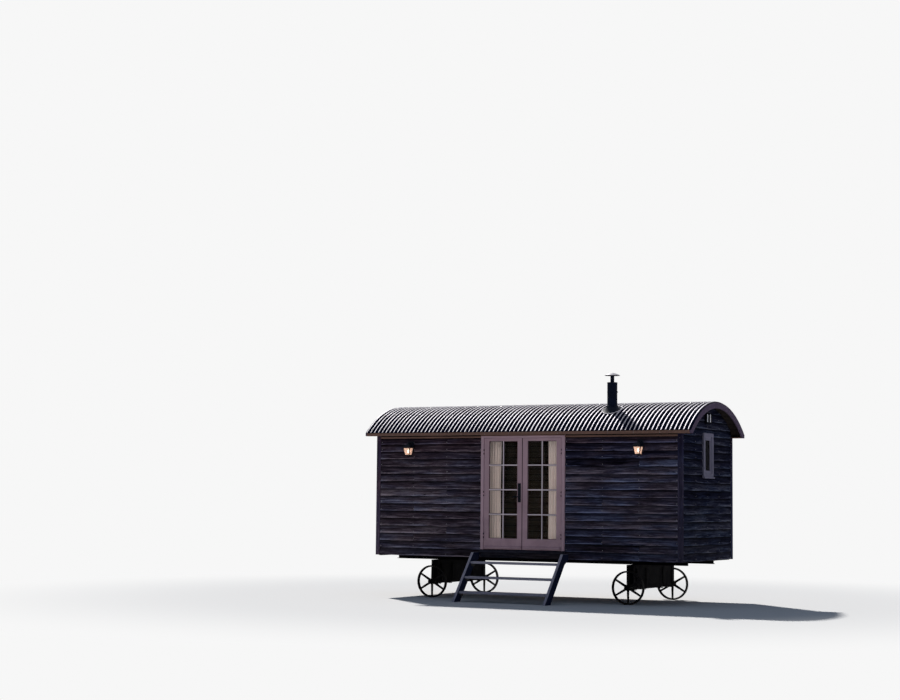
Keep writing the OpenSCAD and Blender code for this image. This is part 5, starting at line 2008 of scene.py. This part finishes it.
@dataclass
class Lanterns:
    """Lamps, scrolls and finials of the two wall lanterns."""

    palette: Palette
    taper: float = 0.66
    post_r: float = 0.0082
    post_out: float = 0.0045
    scroll_r: float = 0.0042
    plate_t: float = 0.012
    arm_drop: float = 0.034
    holder: Outline = ((0.022, 0.0), (0.022, 0.003), (0.011, 0.006), (0.0105, 0.030), (0.0125, 0.032))
    bulb: Outline = ((0.0075, 0.0), (0.010, 0.010), (0.0155, 0.026), (0.0150, 0.038), (0.0105, 0.052),
                     (0.0045, 0.064), (0.0012, 0.070))
    finial: Outline = ((0.0035, 0.0), (0.006, -0.004), (0.0085, -0.010), (0.006, -0.017), (0.0025, -0.021),
                       (0.001, -0.026))

    def build(self) -> list[Piece]:
        """Makes the lamps and the ironwork of both lanterns.

        Returns:
            The two pieces.
        """
        glass_low, glass_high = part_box("lantern_glass")
        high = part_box("lanterns")[1]
        middle_x = (high.x + self.inner_x()) / 2
        bulbs, iron = Shape(), Shape()
        for way in (-1, 1):
            foot = Vector((way * middle_x, (glass_low.y + glass_high.y) / 2, glass_low.z))
            iron.turned(self.holder, Matrix.Translation(foot + Vector((0, 0, 0.004))), 20)
            bulbs.turned(self.bulb, Matrix.Translation(foot + Vector((0, 0, 0.036))), 20)
            self.cage(iron, foot, glass_high.x + self.post_out - middle_x, glass_high.z)
            self.ironwork(iron, foot, high)
        return [self.palette.piece(bulbs, "lantern_bulbs", "bulb_glass", Slot.LAMP_GLASS),
                self.palette.piece(iron, "lantern_ironwork", "black_metal", Slot.BLACK_METAL)]

    def inner_x(self) -> float:
        """X of the right lantern's side that is nearer the doors."""
        return min(vertex.co.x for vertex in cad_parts["lanterns"].data.vertices if vertex.co.x > 0)

    def cage(self, iron: Shape, foot: Vector, half: float, top_z: float) -> None:
        """Round bars along the edges of the glass.

        Args:
            iron: Takes the bars.
            foot: Middle of the glass at its lower end.
            half: Half the width of the glass at its upper end.
            top_z: Height of that end.
        """
        corners = [(x * half, y * half) for x, y in ((-1, -1), (1, -1), (1, 1), (-1, 1))]
        lower = [foot + Vector((x * self.taper, y * self.taper, 0.001)) for x, y in corners]
        upper = [Vector((foot.x + x, foot.y + y, top_z - 0.003)) for x, y in corners]
        for k in range(4):
            iron.tube([lower[k], upper[k]], self.post_r)
            iron.tube([lower[k - 1], lower[k]], self.post_r)
            iron.tube([upper[k - 1], upper[k]], self.post_r * 0.8)

    def ironwork(self, iron: Shape, foot: Vector, high: Vector) -> None:
        """The scroll under the arm, the ring on top, the finial below and the plate's screws.

        Args:
            iron: Takes them.
            foot: Middle of the glass at its lower end.
            high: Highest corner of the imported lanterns.
        """
        arm_z, wall_y = high.z - self.arm_drop, high.y - self.plate_t
        reach = foot.y - wall_y
        scroll = [Vector((foot.x, wall_y + reach * (0.06 + 0.52 * share), arm_z - 0.012
                          - 0.070 * (1 - share) ** 1.3 - 0.010 * math.sin(math.pi * 1.15 * share)))
                  for share in spread(0, 1, 14)]
        iron.tube(scroll, self.scroll_r)
        middle = scroll[-1] + Vector((0, -0.001, -0.012))
        curl = [(0.013 - 0.0075 * share, math.pi * 1.6 * share) for share in spread(0, 1, 12)]
        iron.tube([middle + Vector((0, r * math.sin(a), r * math.cos(a))) for r, a in curl], self.scroll_r * 0.85)
        iron.hoop(Vector((foot.x, foot.y, arm_z + 0.017)), (0.011, 0, 0), (0, 0, 0.011), 0.0022, 18)
        iron.turned(self.finial, Matrix.Translation(foot - Vector((0, 0, 0.0095))), 16)
        for z in (high.z - 0.014, high.z - 0.166):
            for shift in (-0.024, 0.024):
                iron.screw((foot.x + shift, wall_y, z), TO_FRONT, 0.005)


@dataclass
class Flue:
    """Apron dressed over the waves, flared boot, pale bead of sealant that stands as painted highlight, collar and
    bands of the flue.
    """

    palette: Palette
    arc: RoofArc
    boot_r: float = 0.166
    boot_top_r: float = 0.0885
    boot_h: float = 0.040
    flare: Outline = ((1.0, 0.0), (0.80, 0.05), (0.55, 0.17), (0.30, 0.38), (0.12, 0.66), (0.0, 1.0))
    lip_r: float = 0.0065
    lead_t: float = 0.0022
    apron_inset: float = 0.003
    apron_steps: tuple[int, int] = (56, 20)
    collar: Outline = ((0.0, 0.022), (0.003, 0.020), (0.012, 0.0), (0.013, -0.004), (0.010, -0.002), (0.0, 0.014))
    band: Outline = ((0.0, 0.0), (0.0022, 0.001), (0.0022, 0.017), (0.0, 0.018))
    rim: Outline = ((-0.004, 0.0), (-0.0005, 0.001), (-0.0002, 0.004), (-0.003, 0.0068))

    def build(self) -> list[Piece]:
        """Makes the flashing and the bands.

        Returns:
            The four pieces.
        """
        low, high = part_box("flue_pipe")
        centre, pipe_r = Vector(((low.x + high.x) / 2, (low.y + high.y) / 2, 0)), (high.x - low.x) / 2
        return [self.apron(centre), self.boot(centre, pipe_r), self.sealant(centre), self.bands(centre, pipe_r)]

    def roof_z(self, x: float, y: float, wave: float) -> float:
        """Height of the sheet's upper face, with its waves softened."""
        return self.arc.height(y, self.arc.radius - self.arc.wave(x) * wave)

    @property
    def boot_z(self) -> float:
        """Height of the boot's upper end over the roof's crests, at the pipe."""
        low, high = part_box("flue_pipe")
        return self.arc.height((low.y + high.y) / 2, self.arc.radius) + self.boot_h

    def apron(self, centre: Vector) -> Piece:
        """The soaker sheet, dressed down into the waves, that the boot stands on.

        Args:
            centre: Where the pipe stands.

        Returns:
            The piece.
        """
        low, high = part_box("flue_flashing")
        shape, inset, (count_x, count_y) = Shape(), self.apron_inset, self.apron_steps
        rows = []
        for y in spread(low.y + inset, high.y - inset, count_y):
            row = []
            for x in spread(low.x + inset, high.x - inset, count_x):
                away = math.hypot(x - centre.x, y - centre.y)
                edge = min(x - low.x, high.x - x, y - low.y, high.y - y)
                wave = (0.80 + 0.18 * clamp(1 - edge / 0.07)) * clamp((away - self.boot_r * 0.9) / 0.03)
                dents = 0.0006 * noise.noise(Vector((x * 40, y * 40, 0)))
                row.append(Vector((x, y, self.roof_z(x, y, wave) + self.lead_t + dents)))
            rows.append(row + [point - Vector((0, 0, self.lead_t * 0.8)) for point in reversed(row)])
        shape.loft(rows)
        return self.palette.piece(shape, "flue_apron", "galvanised_sheet", Slot.GALVANISED_SHEET, smooth=50,
                                  stands_for=["flue_flashing"])

    def boot(self, centre: Vector, pipe_r: float) -> Piece:
        """The low flared skirt round the foot of the pipe.

        Args:
            centre: Where the pipe stands.
            pipe_r: Its radius.

        Returns:
            The piece.
        """
        shape, rings, ways = Shape(), [], [Vector((math.cos(a), math.sin(a), 0)) for a in turns(48)]
        top_z = self.boot_z
        for out, climb in self.flare:
            ring = [centre + way * (self.boot_top_r + (self.boot_r - self.boot_top_r) * out) for way in ways]
            for point in ring:
                foot_z = self.roof_z(point.x, point.y, 0.0) + self.lead_t * 1.5
                point.z = foot_z + (top_z - foot_z) * climb
            rings.append(ring)
        inner = [[centre + way * pipe_r + Vector((0, 0, point.z)) for way, point in zip(ways, ring)]
                 for ring in (rings[-1], rings[0])]
        shape.loft([*rings, *inner], looped=True)
        return self.palette.piece(shape, "flue_boot", "lead_sheet", Slot.GALVANISED_SHEET, smooth=50)

    def sealant(self, centre: Vector) -> Piece:
        """The bead of pale sealant round the foot of the boot, bright enough to stand as painted highlight there.

        Args:
            centre: Where the pipe stands.

        Returns:
            The piece.
        """
        shape, path = Shape(), []
        for a in turns(64):
            x, y = centre.x + self.boot_r * math.cos(a), centre.y + self.boot_r * math.sin(a)
            path.append(Vector((x, y, self.roof_z(x, y, 0.0) + self.lead_t)))
        shape.tube(path, self.lip_r, looped=True)
        return self.palette.piece(shape, "flue_sealant", "flashing_metal", Slot.BLACK_METAL, smooth=60)

    def bands(self, centre: Vector, pipe_r: float) -> Piece:
        """The storm collar, two joint bands with a clamp, and the cap's rolled rim.

        Args:
            centre: Where the pipe stands.
            pipe_r: Its radius.

        Returns:
            The piece.
        """
        cap_low, cap_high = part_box("flue_cap")
        collar_z, top_z = self.boot_z + 0.004, self.body_top()
        middle_z = (collar_z + top_z) / 2
        shape = Shape()
        for outline, r, z, steps in ((self.collar, pipe_r, collar_z, 48), (self.band, pipe_r, top_z - 0.020, 48),
                                     (self.band, pipe_r, middle_z + 0.03, 48),
                                     (self.rim, (cap_high.x - cap_low.x) / 2, cap_low.z, 56)):
            shape.turned([(r + out, z + up) for out, up in outline], Matrix.Translation(centre), steps)
        lug = Vector((centre.x + pipe_r + 0.002, centre.y, middle_z + 0.039))
        shape.block(lug - Vector((0.001, 0.004, 0.009)), lug + Vector((0.014, 0.004, 0.009)))
        shape.turned(((0.004, -0.012), (0.004, 0.012)), facing((0, 1, 0), lug + Vector((0.008, 0, 0))), 6)
        return self.palette.piece(shape, "flue_bands", "flue_black", Slot.BLACK_METAL, smooth=35)

    def body_top(self) -> float:
        """Height of the wide part of the pipe, below its neck.

        Returns:
            The height.
        """
        low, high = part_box("flue_pipe")
        reach, middle = (high.x - low.x) / 2 * 0.98, (low.x + high.x) / 2
        points = (vertex.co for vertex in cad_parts["flue_pipe"].data.vertices)
        return max(point.z for point in points if abs(point.x - middle) > reach)


@dataclass
class RunningGear:
    """Rivets and hub rings of the wheels, pins and U-bolts of the axles, and the bolts of the chassis."""

    palette: Palette
    rivets: int = 6
    rivet_circles: Outline = ((0.028, 0.0052), (0.052, 0.0072))
    rivet_gap: float = 0.011
    hub_ring: Outline = ((0.034, -0.004), (0.0345, 0.0), (0.032, 0.0025), (0.0265, 0.0025), (0.026, -0.004))
    hub_ring_inset: float = 0.003
    pin_reach: tuple[float, float] = (-0.032, 0.036)
    pin_inset: float = 0.010
    u_bolt_r: float = 0.006
    u_bolt_shares: tuple[float, float] = (0.35, 0.72)
    bed_half_w: float = 0.0615
    bar_drop: float = 0.036
    bolt_r: float = 0.009
    bolt_gaps: int = 12
    bolt_drop: float = 0.022
    half_bearer: float = 0.025

    def build(self) -> list[Piece]:
        """Makes the ironwork below the floor."""
        return [*(self.wheel_rivets(end, side) for end in ("front", "back") for side in ("left", "right")),
                *(self.axle_fittings(side) for side in ("left", "right")), self.chassis_bolts()]

    def wheel_rivets(self, end: str, side: str) -> Piece:
        """Domed rivets where the spokes meet the rim, and a turned ring on the hub.

        Args:
            end: The wheel's end of the axle, front or back.
            side: The axle, left or right.

        Returns:
            The piece.
        """
        low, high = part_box(f"wheel_{end}_{side}")
        centre, rim_r, way = (low + high) / 2, (high.z - low.z) / 2, -1 if end == "front" else 1
        shape = Shape()
        for turn in (math.radians(90) + step for step in turns(self.rivets)):
            out, round_rim = Vector((math.cos(turn), 0, math.sin(turn))), Vector((-math.sin(turn), 0, math.cos(turn)))
            for inset, plane in self.rivet_circles:
                at = centre + out * (rim_r - inset) + Vector((0, way * plane, 0))
                for shift in (-self.rivet_gap, self.rivet_gap):
                    shape.screw(at + round_rim * shift, (0, way, 0))
        face_y = (low.y if way < 0 else high.y) - way * self.hub_ring_inset
        shape.turned(self.hub_ring, facing((0, way, 0), (centre.x, face_y, centre.z)), 32)
        return self.palette.piece(shape, f"wheel_{end}_{side}_rivets", "cast_iron", Slot.CAST_WHEEL,
                                  f"{end}_{side}_wheel")

    def axle_fittings(self, side: str) -> Piece:
        """Linch pins through the axle ends and U-bolts over the axle bed.

        Args:
            side: The axle, left or right.

        Returns:
            The piece.
        """
        low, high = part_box(f"{side}_axle")
        centre, half = sum(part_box(f"wheel_front_{side}"), Vector()) / 2, (high.y - low.y) / 2
        shape = Shape()
        for way in (-1, 1):
            at = Vector((centre.x, (low.y + high.y) / 2 + way * (half - self.pin_inset), centre.z))
            foot, head = (at + Vector((0, 0, rise)) for rise in self.pin_reach)
            shape.tube([foot, head], 0.004)
            shape.hoop(head + Vector((0, 0, 0.008)), (0.009, 0, 0), (0, 0, -0.009), 0.0022, 14)
            for share in self.u_bolt_shares:
                self.u_bolt(shape, centre, (low.y + high.y) / 2 + way * half * share, high.z)
        return self.palette.piece(shape, f"{side}_axle_fittings", "chassis_steel", Slot.CHASSIS_STEEL, smooth=50)

    def u_bolt(self, shape: Shape, centre: Vector, y: float, top_z: float) -> None:
        """A U-bolt that holds the axle bar up to its bed.

        Args:
            shape: Takes the bolt.
            centre: Middle of the wheel on the same axle.
            y: Where it is along the axle.
            top_z: Height of the bed's upper face.
        """
        half, foot = self.bed_half_w + self.u_bolt_r, centre.z - self.bar_drop
        path = ((-half, top_z - 0.055), (-half, foot + 0.012), (0.010 - half, foot - self.u_bolt_r),
                (half - 0.010, foot - self.u_bolt_r), (half, foot + 0.012), (half, top_z - 0.055))
        shape.tube([Vector((centre.x + across, y, z)) for across, z in path], self.u_bolt_r)

    def chassis_bolts(self) -> Piece:
        """Coach bolt heads on the outer faces of both rails, under the floor bearers.

        Returns:
            The piece.
        """
        low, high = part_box("chassis_rails")
        first, last = (corner.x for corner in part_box("floor_bearers"))
        shape, r = Shape(), self.bolt_r
        head = ((r * 1.5, 0.0), (r * 1.5, 0.0015), (r, 0.0018), (r, 0.0065), (r * 0.7, 0.0078))
        for x in spread(first + self.half_bearer, last - self.half_bearer, self.bolt_gaps)[1:-1]:
            for y, way in ((low.y, -1), (high.y, 1)):
                shape.turned(head, facing((0, way, 0), (x, y, high.z - self.bolt_drop)), 6)
        return self.palette.piece(shape, "chassis_bolts", "chassis_steel", Slot.CHASSIS_STEEL)


@dataclass
class Steps:
    """Screws and cleats of the flight of steps."""

    palette: Palette
    treads: int = 3
    first_z: float = 0.170
    rise: float = 0.235
    tread_t: float = 0.036
    tread_d: float = 0.178
    screw_shares: tuple[float, float] = (0.28, 0.72)
    screw: Outline = ((0.0075, 0.0), (0.0075, 0.0012), (0.005, 0.003), (0.002, 0.0036))
    cleat: float = 0.038
    cleat_t: float = 0.003
    cleat_inset: float = 0.030

    def build(self) -> list[Piece]:
        """Makes the fixings of the treads.

        Returns:
            One piece.
        """
        low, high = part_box("step_treads")
        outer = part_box("step_stringers")[1].x
        going = (high.y - low.y - self.tread_d) / (self.treads - 1)
        shape = Shape()
        for number in range(self.treads):
            z, y = self.first_z + number * self.rise, low.y + number * going
            y0, y1, under = y + self.cleat_inset, y + self.tread_d - self.cleat_inset, z - self.tread_t
            for way in (-1, 1):
                for share in self.screw_shares:
                    at = (way * outer, y + self.tread_d * share, z - self.tread_t / 2)
                    shape.turned(self.screw, facing((way, 0, 0), at), 12)
                for wide, tall in ((self.cleat, self.cleat_t), (self.cleat_t, self.cleat)):
                    x0, x1 = sorted((way * high.x, way * (high.x - wide)))
                    shape.block((x0, y0, under - tall), (x1, y1, under))
        return [self.palette.piece(shape, "step_fixings", "black_metal", Slot.BLACK_METAL, smooth=40)]


@dataclass
class EavesStrips:
    """The finned vent strips in the gaps under both soffits, near-black as painted shade of the gaps, and the drip
    moulding over the doors.
    """

    palette: Palette
    gap_h: float = 0.016
    clearance: float = 0.0006
    strip_t: float = 0.003
    fin_t: float = 0.0022
    fin_reach: float = 0.009
    fin_gap: float = 0.036
    board_top_t: float = 0.009
    drip: Outline = ((-0.0005, 0.0), (0.0080, -0.0010), (0.0105, 0.0015), (0.0105, 0.0050), (0.0060, 0.0110),
                     (-0.0005, 0.0152))

    def build(self) -> list[Piece]:
        """Makes the vents and the drip moulding.

        Returns:
            The two pieces.
        """
        door_low, door_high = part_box("door_frame")
        end_x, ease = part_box("front_boards_right")[1].x, self.clearance
        base_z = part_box("corner_boards")[1].z - self.gap_h + ease
        front_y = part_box("front_wall_left")[0].y - self.board_top_t
        back_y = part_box("back_wall")[1].y + self.board_top_t
        vents, moulding = Shape(), Shape()
        for x0, x1, y, way in ((-end_x, door_low.x, front_y, -1), (door_high.x, end_x, front_y, -1),
                               (-end_x, end_x, back_y, 1)):
            self.vent(vents, x0 + ease, x1 - ease, y + way * ease, way, base_z)
        moulding.loft([[Vector((x, door_low.y - out, base_z + up)) for out, up in self.drip]
                       for x in (door_low.x + ease, door_high.x - ease)])
        # The vent strips are near-black: vents, and painted shade of the gap.
        return [self.palette.piece(vents, "eaves_vents", "gable_black", Slot.BLACK_METAL),
                self.palette.piece(moulding, "door_drip", "eaves_paint", Slot.BOARD_TRIM, bevel=0.0006, smooth=30)]

    def vent(self, shape: Shape, x0: float, x1: float, y: float, way: int, base_z: float) -> None:
        """Lays one strip with its fins.

        Args:
            shape: Takes the strip.
            x0: Its left end.
            x1: Its right end.
            y: The face that it lies against.
            way: -1 on the front wall, 1 on the back.
            base_z: Its lower edge.
        """
        top_z, half = base_z + self.gap_h - 2 * self.clearance, self.fin_t / 2
        near, far = sorted((y, y + way * self.strip_t))
        shape.block((x0, near, base_z), (x1, far, top_z))
        near, far = sorted((y + way * self.strip_t * 0.5, y + way * self.fin_reach))
        for x in spread(x0, x1, round((x1 - x0) / self.fin_gap))[1:-1]:
            shape.block((x - half, near, base_z + self.clearance), (x + half, far, top_z - self.clearance))


@dataclass
class TrimNails:
    """Nails of the fascias, bargeboards, corner boards and door frame."""

    palette: Palette
    arc: RoofArc
    gap: float = 0.45
    nail_r: float = 0.0042
    frame_nail_share: float = 0.8
    fascia_rows: tuple[float, float] = (0.012, 0.034)
    fascia_ends: float = 0.06
    barge_rows: tuple[float, float] = (0.022, 0.074)
    barge_clear: float = 0.0018
    barge_angle: float = 39.0
    barge_gaps: int = 12
    barge_foot: float = 0.01
    corner_ends: float = 0.07
    corner_inset: float = 0.036
    corner_stagger: float = 0.012
    frame_ends: float = 0.12
    frame_inset: float = 0.014

    def build(self) -> list[Piece]:
        """Makes all the trim nails as one piece.

        Returns:
            The piece.
        """
        shape = Shape()
        self.fascias(shape)
        self.bargeboards(shape)
        self.corners(shape)
        self.door_frame(shape)
        return [self.palette.piece(shape, "trim_nails", "nail_heads", Slot.BLACK_METAL)]

    def row(self, low: float, high: float, ends: float) -> list[float]:
        """Places at even gaps between two ends."""
        return spread(low + ends, high - ends, max(1, round((high - low - 2 * ends) / self.gap)))

    def fascias(self, shape: Shape) -> None:
        """Pairs of nails along both fascias.

        Args:
            shape: Takes the nails.
        """
        soffit_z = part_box("corner_boards")[1].z
        for node, way in (("eaves_front", -1), ("eaves_back", 1)):
            low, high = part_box(node)
            for x in self.row(low.x, high.x, self.fascia_ends):
                for rise in self.fascia_rows:
                    shape.screw((x, low.y if way < 0 else high.y, soffit_z + rise), (0, way, 0), self.nail_r)

    def bargeboards(self, shape: Shape) -> None:
        """Nails that follow the curve of both bargeboards.

        Args:
            shape: Takes the nails.
        """
        low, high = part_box("bargeboard_right")
        under = self.arc.radius - self.arc.depth - self.barge_clear
        for way in (-1, 1):
            for angle in spread(-self.barge_angle, self.barge_angle, self.barge_gaps):
                for drop in self.barge_rows:
                    point = self.arc.point(way * high.x, math.radians(angle), under - drop)
                    if point.z > low.z + self.barge_foot:
                        shape.screw(point, (way, 0, 0), self.nail_r)

    def corners(self, shape: Shape) -> None:
        """Nails up the faces of the four corner boards.

        Args:
            shape: Takes the nails.
        """
        low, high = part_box("corner_boards")
        x, inset = high.x, self.corner_inset
        for z in self.row(low.z, high.z, self.corner_ends):
            for x_way in (-1, 1):
                for y, y_way in ((low.y, -1), (high.y, 1)):
                    shape.screw((x_way * (x - inset), y, z), (0, y_way, 0), self.nail_r)
                    shape.screw((x_way * x, y - y_way * inset, z + self.corner_stagger), (x_way, 0, 0), self.nail_r)

    def door_frame(self, shape: Shape) -> None:
        """Filled nails down the jambs.

        Args:
            shape: Takes the nails.
        """
        low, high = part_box("door_frame")
        x, radius = high.x - self.frame_inset, self.nail_r * self.frame_nail_share
        for z in self.row(low.z, high.z, self.frame_ends):
            for way in (-1, 1):
                shape.screw((way * x, low.y, z), TO_FRONT, radius)


def main() -> None:
    """Builds the hut's looks in order."""
    logging.basicConfig(level=logging.INFO, format="%(name)s: %(message)s")
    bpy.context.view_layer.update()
    arc = RoofArc.read()
    palette = Palette(arc)
    Surroundings().build()
    assemblies = (PackedPieces(palette), LappedBoards(palette, arc), RoofCovering(palette, arc), Flue(palette, arc),
                  Joinery(palette), Curtains(palette), Lanterns(palette), RunningGear(palette), Steps(palette),
                  EavesStrips(palette), TrimNails(palette, arc))
    for assembly in assemblies:
        for piece in assembly.build():
            LOG.info("%s: %s", type(assembly).__name__, piece.name)


if __name__ == "__main__":
    main()
